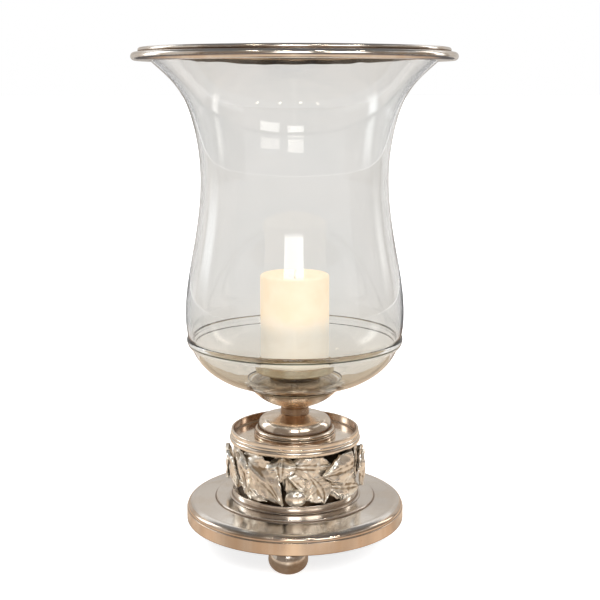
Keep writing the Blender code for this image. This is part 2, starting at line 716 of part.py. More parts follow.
def make_rim_collar():
    """Rolled collar that grips the lip of the glass from both sides."""
    roll = lip_place(RIM_ROLL_OUT, RIM_ROLL_AHEAD)
    crest = lip_place(-RIM_CREST_IN, RIM_CREST_AHEAD)
    outer_low = GLASS_LIP_HEIGHT - RIM_GRIP_OUTSIDE
    inner_low = GLASS_LIP_HEIGHT - RIM_GRIP_INSIDE
    inner_face = GLASS_WALL + CLEARANCE
    flange_face = inner_face + RIM_FLANGE
    gripped = glass_point(outer_low, -CLEARANCE)
    outline = [
        *arc(crest, (RIM_CREST_RADIUS, RIM_CREST_RADIUS), 100, -20, 4),
        *arc(roll, (RIM_ROLL_RADIUS, RIM_ROLL_RADIUS), 85, -90, 6),
        (gripped[0] + CLEARANCE, roll[1] - RIM_ROLL_RADIUS),
        gripped,
        lip_place(CLEARANCE, 1.5 * CLEARANCE),
        lip_place(-inner_face, 1.5 * CLEARANCE),
        glass_point(inner_low, inner_face),
        glass_point(inner_low, flange_face),
        glass_point(GLASS_LIP_HEIGHT, flange_face),
    ]
    turned("rim_collar", outline, STEPS_LARGE, silver("rim_collar"))


# Candle plate, candle and tie rod

def make_candle_plate():
    """Dished plate on a conical foot, with a sunk seat for the head of the tie rod."""
    inner = PLATE_RADIUS - PLATE_RIM_WALL
    outline = [
        (PLATE_RADIUS - EDGE, PLATE_TOP),
        (PLATE_RADIUS, PLATE_TOP - EDGE),
        (PLATE_RADIUS, PLATE_BOTTOM + EDGE),
        (PLATE_RADIUS - EDGE, PLATE_BOTTOM),
        (PLATE_FOOT_TOP_RADIUS, PLATE_BOTTOM),
        (PLATE_FOOT_RADIUS, PLATE_FOOT_BOTTOM),
        (ROD_BORE_RADIUS, PLATE_FOOT_BOTTOM),
        (ROD_BORE_RADIUS, ROD_SEAT),
        (ROD_HEAD_RADIUS + ROD_CLEARANCE, ROD_SEAT),
        (ROD_HEAD_RADIUS + ROD_CLEARANCE, PLATE_FLOOR),
        (inner, PLATE_FLOOR),
        (inner, PLATE_TOP - EDGE),
        (inner + EDGE, PLATE_TOP),
    ]
    turned("candle_plate", outline, STEPS_MEDIUM, silver("candle_plate"))


def make_candle():
    """Pillar candle with a shallow melt pool and a hole for its wick."""
    hole = WICK_RADIUS + WICK_CLEARANCE
    pool = CANDLE_TOP - CANDLE_POOL_DEPTH
    edge = arc(
        (CANDLE_RADIUS - CANDLE_EDGE, CANDLE_TOP - CANDLE_EDGE), (CANDLE_EDGE, CANDLE_EDGE), 110, 0, 3)
    outline = [
        (0.0, pool - WICK_SUNK - CLEARANCE),
        (hole, pool - WICK_SUNK - CLEARANCE),
        (hole, pool),
        (CANDLE_POOL_FLAT_RADIUS, pool + EDGE),
        (CANDLE_POOL_SLOPE_RADIUS, pool + CANDLE_POOL_DEPTH / 2),
        *edge,
        (CANDLE_RADIUS, CANDLE_BOTTOM + EDGE),
        (CANDLE_RADIUS - EDGE, CANDLE_BOTTOM),
        (0.0, CANDLE_BOTTOM),
    ]
    turned("candle", outline, STEPS_MEDIUM, new_material("candle", (0.93, 0.86, 0.72), 0.5, 0.0))


def make_wick():
    """Cotton wick, upright in the candle."""
    pool = CANDLE_TOP - CANDLE_POOL_DEPTH
    outline = [
        (0.0, pool + WICK_STICKS_OUT),
        (WICK_RADIUS - EDGE, pool + WICK_STICKS_OUT),
        (WICK_RADIUS, pool + WICK_STICKS_OUT - EDGE),
        (WICK_RADIUS, pool - WICK_SUNK),
        (0.0, pool - WICK_SUNK),
    ]
    turned("wick", outline, STEPS_PIN, new_material("wick", (0.10, 0.08, 0.07), 0.9, 0.0))


def make_tie_rod():
    """Round-headed rod from the candle plate down through the whole stack."""
    seat = ROD_SEAT + CLEARANCE
    head_top = seat + ROD_HEAD_HEIGHT
    end = BASE_BOTTOM - WASHER_THICKNESS - NUT_HEIGHT - ROD_PAST_NUT
    outline = [
        (0.0, head_top),
        (ROD_HEAD_RADIUS - EDGE, head_top),
        (ROD_HEAD_RADIUS, head_top - EDGE),
        (ROD_HEAD_RADIUS, seat),
        (ROD_RADIUS, seat),
        (ROD_RADIUS, end + EDGE),
        (ROD_RADIUS - EDGE, end),
        (0.0, end),
    ]
    turned("tie_rod", outline, STEPS_SMALL, steel("tie_rod"))


def make_washer_and_nut():
    """Washer and hexagon nut under the ballast plate."""
    washer_top = BASE_BOTTOM - CLEARANCE
    washer_bottom = washer_top - WASHER_THICKNESS
    outline = ring_outline(ROD_BORE_RADIUS, WASHER_RADIUS, washer_bottom, washer_top)
    turned("tie_washer", outline, STEPS_SMALL, steel("tie_washer"))
    nut_top = washer_bottom - CLEARANCE
    corner_radius = NUT_ACROSS_FLATS / 2 / math.cos(math.pi / 6)
    bore = ROD_RADIUS + CLEARANCE
    bore_corner = bore / math.cos(math.pi / 6)
    outline = ring_outline(bore_corner, corner_radius, nut_top - NUT_HEIGHT, nut_top)
    turned("tie_nut", outline, 6, steel("tie_nut"))


# Garland

# Each leaf of a spray: where its stalk end and its tip lie on the garland laid flat, as (degrees
# round the drum, share of the garland's height), its greatest half width as a share of that height,
# where along the leaf that width falls, how far its midrib bows to its left, the layer that its
# stalk starts from, the layer it rises to, and how far its tip curls out, in leaf layers.
SPRAY = (
    ((-68.0, 0.11), (-84.0, 0.82), 0.27, 0.45, 0.03, 0, 1, 0.9),
    ((-72.5, 0.96), (-67.0, 0.46), 0.19, 0.45, 0.00, 0, 0, 0.0),
    ((-62.0, 0.28), (-25.5, 0.07), 0.22, 0.40, 0.04, 0, 0, 0.6),
    ((-56.0, 0.88), (-10.0, 0.04), 0.36, 0.42, 0.11, 0, 1, 0.9),
    ((-58.0, 0.95), (-44.0, 0.18), 0.17, 0.45, 0.06, 1.2, 1.6, 0.1),
    ((-12.0, 0.98), (-11.2, 0.55), 0.28, 0.28, 0.00, 0, 2, 0.1),
    ((-1.5, 0.83), (30.5, 0.83), 0.20, 0.42, 0.00, 0.3, 1, 0.0),
    ((-5.5, 0.63), (19.0, 0.08), 0.15, 0.25, 0.09, 0, 0, 0.3),
    ((14.0, 0.59), (25.0, 0.05), 0.30, 0.58, 0.05, 1, 1, 0.5),
    ((68.0, 0.68), (24.0, 0.63), 0.28, 0.48, -0.04, 0, 2, 0.1),
    ((37.0, 0.37), (75.0, 0.10), 0.22, 0.45, 0.02, 0, 1, 0.2),
    ((80.0, 0.10), (81.0, 0.84), 0.25, 0.50, 0.00, 2, 2, 0.1),
    ((91.0, 0.93), (90.0, 0.13), 0.20, 0.45, 0.00, 0, 0, 0.0),
)
# The berry of a spray: its place on the same sheet and half its width and height
SPRAY_BERRY = (0.6, 0.18)
SPRAY_BERRY_HALF_SIZE = (9.4, 0.18)
SPRAY_NAMES = ("front", "rear")

# Degrees round the drum drawn as wide as the garland is high
SHEET_DEGREES = 42.7
LEAF_CELLS_LONG = 8
LEAF_CELLS_WIDE = 2
LEAF_STALK_WIDTH = 0.42
LEAF_TIP_WIDTH = 0.07
LEAF_RISE_SHARE = 0.35
LEAF_CURL_FROM = 0.60


def smooth_step(value):
    """Ease from 0 to 1."""
    t = min(max(value, 0.0), 1.0)
    return t * t * (3 - 2 * t)


def leaf_half_width(along, widest):
    """Half width of a leaf's outline, 1 at its widest, narrow at the stalk and pointed at the tip."""
    if along < widest:
        swell = math.sin(math.pi / 2 * along / widest)
        return LEAF_STALK_WIDTH + (1 - LEAF_STALK_WIDTH) * swell
    fall = math.cos(math.pi / 2 * (along - widest) / (1 - widest))
    return max(fall, LEAF_TIP_WIDTH)


def garland_point(degrees, share, radius):
    """World point of a place on the garland laid flat, at a radius from the axis."""
    angle = math.radians(degrees)
    height = GARLAND_BOTTOM + (GARLAND_TOP - GARLAND_BOTTOM) * min(max(share, 0.0), 1.0)
    return Vector((radius * math.sin(angle), -radius * math.cos(angle), height))


def make_leaf(name, turn, stalk, tip, half_width, widest, bend, first_layer, layer, curl):
    """Cast leaf, folded along its midrib, that rises from one layer to another and curls out."""
    inner = DRUM_RADIUS + 2 * CLEARANCE
    run = Vector(((tip[0] - stalk[0]) / SHEET_DEGREES, tip[1] - stalk[1]))
    side = Vector((-run.y, run.x)).normalized()
    mesh = bpy.data.meshes.new(name)
    form = bmesh.new()
    bmesh.ops.create_grid(form, x_segments=LEAF_CELLS_LONG, y_segments=LEAF_CELLS_WIDE, size=1.0)
    for vert in form.verts:
        along = (vert.co.x + 1) / 2
        across = vert.co.y
        bowed = bend * 4 * along * (1 - along)
        place = run * along + side * (bowed + across * half_width * leaf_half_width(along, widest))
        climb = (layer - first_layer) * smooth_step(along / LEAF_RISE_SHARE)
        rise = (first_layer + climb) * LEAF_LAYER_PITCH
        fold = LEAF_FOLD * (1 - abs(across))
        arch = LEAF_ARCH * math.sin(math.pi * along)
        lift = curl * LEAF_LAYER_PITCH * smooth_step((along - LEAF_CURL_FROM) / (1 - LEAF_CURL_FROM))
        vert.co = garland_point(
            turn + stalk[0] + place.x * SHEET_DEGREES,
            stalk[1] + place.y,
            inner + rise + fold + arch + lift,
        )
    form.to_mesh(mesh)
    form.free()
    mesh.materials.append(cast_silver(name))
    leaf = bpy.data.objects.new(name, mesh)
    parts.objects.link(leaf)
    shell = leaf.modifiers.new("Thickness", "SOLIDIFY")
    shell.thickness = LEAF_THICKNESS
    shell.offset = 1.0
    bake(leaf)


def make_berry(name, turn):
    """Round berry low on the drum, among the leaf tips."""
    radius = DRUM_RADIUS + CLEARANCE + BERRY_DEPTH / 2
    half_width = radius * math.sin(math.radians(SPRAY_BERRY_HALF_SIZE[0]))
    half_height = (GARLAND_TOP - GARLAND_BOTTOM) * SPRAY_BERRY_HALF_SIZE[1]
    mesh = bpy.data.meshes.new(name)
    form = bmesh.new()
    bmesh.ops.create_uvsphere(form, u_segments=STEPS_BALL, v_segments=STEPS_BALL // 2, radius=1.0)
    size = Vector((half_width, BERRY_DEPTH / 2, half_height))
    bmesh.ops.scale(form, vec=size, verts=form.verts)
    form.to_mesh(mesh)
    form.free()
    mesh.materials.append(cast_silver(name))
    mesh.shade_smooth()
    berry = bpy.data.objects.new(name, mesh)
    berry.location = garland_point(turn + SPRAY_BERRY[0], SPRAY_BERRY[1], radius)
    berry.rotation_euler.z = math.radians(turn + SPRAY_BERRY[0])
    parts.objects.link(berry)


def make_garland():
    """Two equal sprays of leaves and a berry, one on each half of the drum."""
    for number, spray_name in enumerate(SPRAY_NAMES):
        turn = 360.0 * number / len(SPRAY_NAMES)
        for index, leaf in enumerate(SPRAY, start=1):
            make_leaf(f"{spray_name}_leaf_{index:02d}", turn, *leaf)
        make_berry(f"{spray_name}_berry", turn)


clear_scene()
parts = new_collection("hurricane_lantern")
cutters = new_collection("cutters")

make_feet()
make_foot_screws()
make_ballast_plate()
make_base_cover()
make_base_collar()
make_drum()
make_garland()
make_gallery_tray()
make_socle()
make_glass_cup()
make_felts()
make_glass_vessel()
make_rim_collar()
make_candle_plate()
make_candle()
make_wick()
make_tie_rod()
make_washer_and_nut()
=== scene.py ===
"""Looks of a hurricane lantern: spun silver plate, blown glass, cast leaves and a glowing candle.

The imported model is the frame. Finely turned and cast pieces stand for its plain solids, and the
fasteners, felts and ballast keep theirs under finishes of their own. Metres, +Z up, front at -Y.
"""

import logging
import math
from collections.abc import Callable, Iterator, Sequence
from contextlib import contextmanager
from dataclasses import dataclass, field
from enum import Enum

import bmesh
import bpy
import numpy as np
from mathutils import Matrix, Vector, noise


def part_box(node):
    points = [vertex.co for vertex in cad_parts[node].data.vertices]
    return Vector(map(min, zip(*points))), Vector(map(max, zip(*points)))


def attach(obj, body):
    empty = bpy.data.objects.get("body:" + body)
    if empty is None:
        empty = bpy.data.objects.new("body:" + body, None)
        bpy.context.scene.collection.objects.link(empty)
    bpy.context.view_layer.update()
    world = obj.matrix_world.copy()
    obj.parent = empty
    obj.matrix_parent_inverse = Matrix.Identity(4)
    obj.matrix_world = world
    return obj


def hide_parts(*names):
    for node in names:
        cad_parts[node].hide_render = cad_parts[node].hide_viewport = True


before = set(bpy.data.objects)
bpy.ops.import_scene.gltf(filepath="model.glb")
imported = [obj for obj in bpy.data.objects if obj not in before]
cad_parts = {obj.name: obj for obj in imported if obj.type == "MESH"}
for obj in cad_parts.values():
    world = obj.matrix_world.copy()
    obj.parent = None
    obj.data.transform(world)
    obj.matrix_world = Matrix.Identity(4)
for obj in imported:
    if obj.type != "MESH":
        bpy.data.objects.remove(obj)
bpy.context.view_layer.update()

LOG = logging.getLogger("lantern")

Colour = tuple[float, float, float]
Spot = tuple[float, float]
Corner = tuple[float, float, float]

# Gap that the solids keep between two pieces that touch
CLEARANCE = 0.0003
# Bore through the stack for the tie rod
BORE_RADIUS = 0.0045
# Outer radius of the drum, which the base collar and the leaves close on
DRUM_RADIUS = 0.0593
# Radius of the neck of the cup, which stands in the socle
NECK_RADIUS = 0.0148
# Heights of the candle's underside and of its top edge, and the depth of its melt pool
CANDLE_BOTTOM = 0.1900
CANDLE_TOP = 0.2870
POOL_DEPTH = 0.0050
# How far wear and tarnish spread from an edge or a groove
EDGE_REACH = 0.0011
# Points of a turned piece that meet on its axis lie closer than this
WELD = 1e-7
# Angles between faces, in degrees, from which an edge is drawn sharp
TURNED_CREASE = 38.0
CAST_CREASE = 60.0

# Light of the windows and of the small lamps in the room
DAYLIGHT = (1.0, 0.99, 0.97)
LAMPLIGHT = (1.0, 0.95, 0.85)


class Body(Enum):
    """What a piece moves with."""

    STAND = "stand"
    CANDLE = "candle"


class Slot(Enum):
    """Finish that the record names for a piece."""

    SILVER = "silver_plate"
    CAST = "cast_silver"
    DRUM = "drum_metal"
    IRON = "iron"
    STEEL = "fastener_steel"
    FELT = "felt"
    GLASS = "clear_glass"
    WAX = "wax"
    WICK = "wick_cotton"


class Round(Enum):
    """Number of facets round a turned piece."""

    LARGE = 192
    MEDIUM = 144
    SMALL = 96
    PIN = 24


# Node materials


class Recipe:
    """Node material, or world, that is built up step by step."""

    def __init__(self, name: str, world: bool = False) -> None:
        """Start an empty one.

        Args:
            name: Its name.
            world: Whether it is a world and not a material.
        """
        self.owner = (bpy.data.worlds if world else bpy.data.materials).new(name)
        self.owner.use_nodes = True
        self.tree = self.owner.node_tree
        self.tree.nodes.clear()
        self.output = self.node("OutputWorld" if world else "OutputMaterial")

    def node(self, kind: str) -> bpy.types.Node:
        """Add a node of a kind, such as Math."""
        return self.tree.nodes.new("ShaderNode" + kind)

    def feed(self, socket: bpy.types.NodeSocket, value: object) -> None:
        """Link or set one input.

        Args:
            socket: Input to fill.
            value: Output socket to link, or a number or colour to set.
        """
        if isinstance(value, bpy.types.NodeSocket):
            self.tree.links.new(value, socket)
        elif isinstance(value, tuple) and len(value) == 3 and socket.type == "RGBA":
            socket.default_value = (*value, 1.0)
        else:
            socket.default_value = value

    def place(self) -> bpy.types.NodeSocket:
        """Return the point on the piece, in metres."""
        return self.node("TexCoord").outputs["Object"]

    def parts(self, vector: bpy.types.NodeSocket) -> tuple[bpy.types.NodeSocket, ...]:
        """Split a vector.

        Args:
            vector: Vector to split.

        Returns:
            Its x, y and z.
        """
        node = self.node("SeparateXYZ")
        self.feed(node.inputs[0], vector)
        return tuple(node.outputs)

    def join(self, x: object, y: object, z: object) -> bpy.types.NodeSocket:
        """Join three numbers into a vector.

        Args:
            x: First part.
            y: Second part.
            z: Third part.

        Returns:
            The vector.
        """
        node = self.node("CombineXYZ")
        for socket, value in zip(node.inputs, (x, y, z)):
            self.feed(socket, value)
        return node.outputs[0]

    def sum(self, operation: str, a: object, b: object = 0.0) -> bpy.types.NodeSocket:
        """Do a sum on one or two numbers.

        Args:
            operation: Name of the operation.
            a: First number.
            b: Second number.

        Returns:
            The result.
        """
        node = self.node("Math")
        node.operation = operation
        self.feed(node.inputs[0], a)
        self.feed(node.inputs[1], b)
        return node.outputs[0]

    def times(self, a: object, b: object) -> bpy.types.NodeSocket:
        """Multiply two numbers."""
        return self.sum("MULTIPLY", a, b)

    def plus(self, a: object, b: object) -> bpy.types.NodeSocket:
        """Add two numbers."""
        return self.sum("ADD", a, b)

    def from_axis(self, x: object, y: object) -> bpy.types.NodeSocket:
        """Return the distance from the vertical axis."""
        return self.sum("SQRT", self.plus(self.times(x, x), self.times(y, y)))

    def noise(
        self, vector: object, scale: float, detail: float = 3.0, rough: float = 0.5
    ) -> bpy.types.NodeSocket:
        """Add a noise pattern.

        Args:
            vector: Where the pattern is read.
            scale: Cells to the metre.
            detail: Number of finer layers.
            rough: Strength of the finer layers.

        Returns:
            The pattern, from 0 to 1.
        """
        node = self.node("TexNoise")
        self.feed(node.inputs["Vector"], vector)
        node.inputs["Scale"].default_value = scale
        node.inputs["Detail"].default_value = detail
        node.inputs["Roughness"].default_value = rough
        return node.outputs[0]

    def span(
        self, value: object, low: float, high: float, to_low: float = 0.0, to_high: float = 1.0
    ) -> bpy.types.NodeSocket:
        """Map a range to another, smoothly and held at its ends.

        Args:
            value: Number to map.
            low: Start of its range.
            high: End of its range.
            to_low: Result at the start.
            to_high: Result at the end.

        Returns:
            The mapped number.
        """
        node = self.node("MapRange")
        node.interpolation_type = "SMOOTHSTEP"
        self.feed(node.inputs["Value"], value)
        node.inputs["From Min"].default_value = low
        node.inputs["From Max"].default_value = high
        node.inputs["To Min"].default_value = to_low
        node.inputs["To Max"].default_value = to_high
        return node.outputs["Result"]

    def blend(self, share: object, a: object, b: object) -> bpy.types.NodeSocket:
        """Mix two colours.

        Args:
            share: How much of the second colour.
            a: First colour.
            b: Second colour.

        Returns:
            The mixed colour.
        """
        node = self.node("Mix")
        node.data_type = "RGBA"
        self.feed(node.inputs[0], share)
        self.feed(node.inputs[6], a)
        self.feed(node.inputs[7], b)
        return node.outputs[2]

    def attribute(self, name: str) -> bpy.types.NodeSocket:
        """Read a value that the mesh carries.

        Args:
            name: Name of the value.

        Returns:
            The value.
        """
        node = self.node("Attribute")
        node.attribute_name = name
        return node.outputs["Fac"]

    def bump(
        self, height: object, distance: float, strength: float = 1.0, under: object = None
    ) -> bpy.types.NodeSocket:
        """Raise a fine relief on the surface.

        Args:
            height: Pattern of the relief.
            distance: Height of the relief, in metres.
            strength: Strength from 0 to 1.
            under: Relief that this one lies on, if any.

        Returns:
            The normal.
        """
        node = self.node("Bump")
        node.inputs["Strength"].default_value = strength
        node.inputs["Distance"].default_value = distance
        self.feed(node.inputs["Height"], height)
        if under is not None:
            self.feed(node.inputs["Normal"], under)
        return node.outputs[0]

    def principled(self, **values: object) -> bpy.types.NodeSocket:
        """Add the main shader.

        Args:
            values: Inputs by name, with _ for a space.

        Returns:
            The shader.
        """
        node = self.node("BsdfPrincipled")
        for name, value in values.items():
            self.feed(node.inputs[name.replace("_", " ")], value)
        return node.outputs[0]

    def clear(self, colour: Colour = (1.0, 1.0, 1.0)) -> bpy.types.NodeSocket:
        """Add a shader that lets light straight through.

        Args:
            colour: How much of each colour it lets through.

        Returns:
            The shader.
        """
        node = self.node("BsdfTransparent")
        self.feed(node.inputs[0], colour)
        return node.outputs[0]

    def light(self, colour: object, strength: object, kind: str) -> bpy.types.NodeSocket:
        """Add a shader that shines.

        Args:
            colour: Colour of the light.
            strength: Its strength.
            kind: Emission on a sheet, and Background in a world.

        Returns:
            The shader.
        """
        node = self.node(kind)
        self.feed(node.inputs["Color"], colour)
        self.feed(node.inputs["Strength"], strength)
        return node.outputs[0]

    def mix(
        self, share: object, a: bpy.types.NodeSocket, b: bpy.types.NodeSocket
    ) -> bpy.types.NodeSocket:
        """Mix two shaders.

        Args:
            share: How much of the second shader.
            a: First shader.
            b: Second shader.

        Returns:
            The mixed shader.
        """
        node = self.node("MixShader")
        for socket, value in zip(node.inputs, (share, a, b)):
            self.feed(socket, value)
        return node.outputs[0]

    def finish(self, shader: bpy.types.NodeSocket) -> bpy.types.ID:
        """Show a shader.

        Args:
            shader: Shader to show.

        Returns:
            The finished material or world.
        """
        self.tree.links.new(shader, self.output.inputs["Surface"])
        return self.owner


@dataclass(frozen=True)
class SilverPlate:
    """Old silver plate on spun brass, tarnished in its grooves and worn thin on its edges."""

    bright: Colour = (0.80, 0.755, 0.70)
    warm: Colour = (0.72, 0.60, 0.48)
    tarnish: Colour = (0.24, 0.155, 0.095)
    copper: Colour = (0.65, 0.50, 0.37)
    # Colour laid within a radius and above a height: painted reflection on the cup's neck, and a
    # darker inner wall in the tray.
    dark_tint: Colour = (0.38, 0.24, 0.14)
    roughness: float = 0.11
    brushing: float = 2600.0
    brushing_depth: float = 0.00002
    clouding: float = 34.0
    pitting: float = 420.0
    denting: float = 46.0
    dent_depth: float = 0.00035
    copper_below: float = -1.0
    patches: float = 0.45
    wear: float = 0.5
    dark_tinted_within: float = -1.0
    dark_tinted_above: float = -1.0

    def material(self, name: str) -> bpy.types.Material:
        """Make the finish.

        Args:
            name: Name of the material.

        Returns:
            The material.
        """
        r = Recipe(name)
        place = r.place()
        x, y, z = r.parts(place)
        radius = r.from_axis(x, y)
        marks = r.noise(r.join(radius, 0.0, z), self.brushing, 2.0)
        clouds = r.noise(place, self.clouding, 5.0, 0.62)
        spots = r.noise(place, self.pitting, 3.0, 0.6)
        relief = r.attribute("relief")
        hollow = r.span(relief, -0.10, -0.75)
        edge = r.span(relief, 0.75, 1.5)
        warmth = r.times(r.span(clouds, 0.40, 0.68), self.patches)
        colour = r.blend(warmth, self.bright, self.warm)
        if self.copper_below > 0.0:
            low = r.span(z, self.copper_below, self.copper_below - 0.0008)
            worn = r.span(r.noise(r.join(x, y, 0.0), 60.0, 4.0), 0.25, 0.75, 0.45, 0.95)
            colour = r.blend(r.times(low, worn), colour, self.copper)
        # Darken inside a radius and above a height; on the cup this is painted reflection.
        if self.dark_tinted_within > 0.0:
            inside = r.span(radius, self.dark_tinted_within, self.dark_tinted_within - 0.0006)
            above = r.span(z, self.dark_tinted_above - 0.002, self.dark_tinted_above)
            share = r.times(above, r.span(clouds, 0.25, 0.65, 0.45, 0.95))
            colour = r.blend(r.times(inside, share), colour, self.dark_tint)
        rubbed = r.times(edge, r.span(clouds, 0.35, 0.60, self.wear * 0.3, self.wear))
        colour = r.blend(rubbed, colour, self.copper)
        pits = r.times(r.span(spots, 0.66, 0.78), 0.55)
        dark = r.sum("MAXIMUM", r.times(hollow, 0.85), pits)
        colour = r.blend(dark, colour, self.tarnish)
        rough = r.plus(
            r.span(clouds, 0.30, 0.75, self.roughness, self.roughness + 0.10),
            r.times(marks, 0.05))
        rough = r.plus(rough, r.times(dark, 0.25))
        normal = r.bump(r.noise(place, self.denting, 2.0), self.dent_depth, 0.5)
        normal = r.bump(marks, self.brushing_depth, 0.45, normal)
        return r.finish(r.principled(
            Base_Color=colour, Metallic=1.0, Roughness=rough, Normal=normal))


@dataclass(frozen=True)
class CastSilver:
    """Silver plate on a chased casting: bright on its ridges and brown in its hollows."""

    bright: Colour = (1.0, 0.98, 0.93)
    body: Colour = (0.93, 0.88, 0.79)
    hollow: Colour = (0.34, 0.26, 0.17)
    roughness: float = 0.19
    clouding: float = 120.0
    cloud_depth: float = 0.0006
    grain: float = 900.0
    grain_depth: float = 0.00010

    def material(self, name: str) -> bpy.types.Material:
        """Make the finish.

        Args:
            name: Name of the material.

        Returns:
            The material.
        """
        r = Recipe(name)
        place = r.place()
        clouds = r.noise(place, self.clouding, 4.0, 0.6)
        grain = r.noise(place, self.grain, 3.0, 0.6)
        relief = r.plus(r.attribute("relief"), r.span(clouds, 0.3, 0.7, -0.22, 0.22))
        colour = r.blend(r.span(relief, 0.15, 0.75), self.body, self.bright)
        dark = r.span(relief, -0.20, -0.85, 0.0, 0.9)
        colour = r.blend(dark, colour, self.hollow)
        rough = r.plus(
            r.span(relief, -0.8, 0.8, self.roughness + 0.22, self.roughness),
            r.times(grain, 0.06))
        normal = r.bump(clouds, self.cloud_depth, 0.5)
        normal = r.bump(grain, self.grain_depth, 0.35, normal)
        return r.finish(r.principled(
            Base_Color=colour, Metallic=1.0, Roughness=rough, Normal=normal))


@dataclass(frozen=True)
class DarkMetal:
    """Dull dark metal with a blotched surface, for the drum, the ballast and the fasteners."""

    colour: Colour = (0.050, 0.038, 0.026)
    second: Colour = (0.11, 0.075, 0.045)
    metallic: float = 0.85
    roughness: float = 0.42
    grain: float = 500.0
    grain_depth: float = 0.00008
    clouding: float = 70.0

    def material(self, name: str) -> bpy.types.Material:
        """Make the finish.

        Args:
            name: Name of the material.

        Returns:
            The material.
        """
        r = Recipe(name)
        place = r.place()
        clouds = r.noise(place, self.clouding, 5.0, 0.6)
        grain = r.noise(place, self.grain, 3.0, 0.6)
        colour = r.blend(r.span(clouds, 0.35, 0.70), self.colour, self.second)
        rough = r.span(grain, 0.2, 0.8, self.roughness - 0.08, self.roughness + 0.12)
        return r.finish(r.principled(
            Base_Color=colour, Metallic=self.metallic, Roughness=rough,
            Normal=r.bump(grain, self.grain_depth, 0.5)))


@dataclass(frozen=True)
class Felt:
    """Pressed wool felt."""

    colour: Colour = (0.32, 0.23, 0.14)
    second: Colour = (0.46, 0.35, 0.23)
    fibre: float = 1600.0
    fibre_depth: float = 0.0003

    def material(self, name: str) -> bpy.types.Material:
        """Make the finish.

        Args:
            name: Name of the material.

        Returns:
            The material.
        """
        r = Recipe(name)
        fibres = r.noise(r.place(), self.fibre, 5.0, 0.7)
        colour = r.blend(r.span(fibres, 0.3, 0.7), self.colour, self.second)
        return r.finish(r.principled(
            Base_Color=colour, Roughness=r.span(fibres, 0.2, 0.8, 0.85, 1.0),
            Sheen_Weight=0.4, Normal=r.bump(fibres, self.fibre_depth, 0.8)))


@dataclass(frozen=True)
class BlownGlass:
    """Clear blown glass, a little grey, with a painted dark line along the front of its bead and a
    painted brown tint towards its bowl.
    """

    clear: Colour = (0.870, 0.868, 0.855)
    pale: Colour = (0.905, 0.895, 0.880)
    painted_bowl_tint: Colour = (0.865, 0.835, 0.775)
    painted_bead_dark: Colour = (0.010, 0.014, 0.007)
    unbent: Colour = (0.95, 0.95, 0.94)
    painted_bowl_tint_low: float = 0.176
    painted_bowl_tint_high: float = 0.275
    painted_bead_dark_height: float = 0.2192
    painted_bead_dark_half: float = 0.0012
    clouding: float = 9.0
    ripple: float = 16.0
    ripple_depth: float = 0.0012
    refraction: float = 1.5

    def material(self, name: str) -> bpy.types.Material:
        """Make the finish. Lamp light and soft light pass straight through it.

        Args:
            name: Name of the material.

        Returns:
            The material.
        """
        r = Recipe(name)
        place = r.place()
        z = r.parts(place)[2]
        clouds = r.noise(place, self.clouding, 3.0, 0.5)
        tint = r.blend(r.span(clouds, 0.3, 0.7), self.clear, self.pale)
        # Painted refraction: the glass is tinted browner towards its bowl, for the brown table
        # seen through it.
        colour = r.blend(r.span(z, self.painted_bowl_tint_high, self.painted_bowl_tint_low), tint, self.painted_bowl_tint)
        # Painted shade: a dark line along the bead, stronger at the front, for the dark that the
        # clear bead bends into view.
        off = r.sum("ABSOLUTE", r.sum("SUBTRACT", z, self.painted_bead_dark_height))
        near = r.span(off, self.painted_bead_dark_half, self.painted_bead_dark_half * 0.35)
        bead = r.times(near, r.span(r.attribute("bead"), 0.2, 0.8))
        bead = r.times(bead, r.span(r.parts(place)[1], 0.06, 0.0, 0.12, 1.0))
        colour = r.blend(bead, colour, self.painted_bead_dark)
        waves = r.noise(r.join(*(
            r.times(part, stretch)
            for part, stretch in zip(r.parts(place), (1.0, 1.0, 0.45))
        )), self.ripple, 2.0, 0.4)
        normal = r.bump(waves, self.ripple_depth, 0.35)
        glass = r.principled(
            Base_Color=colour, Roughness=0.0, IOR=self.refraction, Transmission_Weight=1.0,
            Normal=normal)
        ray = r.node("LightPath").outputs
        through = r.sum("MAXIMUM", ray["Is Shadow Ray"], ray["Is Diffuse Ray"])
        return r.finish(r.mix(through, glass, r.clear(self.unbent)))


@dataclass(frozen=True)
class GlowingWax:
    """Ivory wax with a painted glow: faint all over, and warm near its top."""

    wax: Colour = (0.86, 0.80, 0.70)
    second: Colour = (0.80, 0.72, 0.60)
    glow: Colour = (1.0, 0.72, 0.40)
    faint_glow: Colour = (1.0, 0.95, 0.84)
    glow_shares: Spot = (0.36, 0.62)
    glow_wander: float = 0.012
    faint_glow_strength: float = 0.20
    glow_strength: float = 0.33
    clouding: float = 60.0
    grain: float = 700.0
    bottom: float = CANDLE_BOTTOM
    top: float = CANDLE_TOP

    def material(self, name: str) -> bpy.types.Material:
        """Make the finish.

        Args:
            name: Name of the material.

        Returns:
            The material.
        """
        r = Recipe(name)
        place = r.place()
        z = r.parts(place)[2]
        clouds = r.noise(place, self.clouding, 4.0, 0.6)
        fine = r.noise(place, self.grain, 3.0, 0.6)
        height = self.top - self.bottom
        colour = r.blend(r.span(clouds, 0.3, 0.75), self.wax, self.second)
        wander = r.times(r.sum("SUBTRACT", clouds, 0.5), self.glow_wander)
        level = r.plus(z, wander)
        lit = r.span(level, *(self.bottom + share * height for share in self.glow_shares))
        # Painted glow: the wax gives off light faintly all over and warmly near its top.
        warm = r.blend(lit, self.faint_glow, self.glow)
        strength = r.plus(self.faint_glow_strength, r.times(lit, self.glow_strength))
        return r.finish(r.principled(
            Base_Color=colour, Roughness=r.span(fine, 0.2, 0.8, 0.38, 0.55),
            Emission_Color=warm, Emission_Strength=strength,
            Normal=r.bump(r.plus(clouds, r.times(fine, 0.2)), 0.0006, 0.5)))


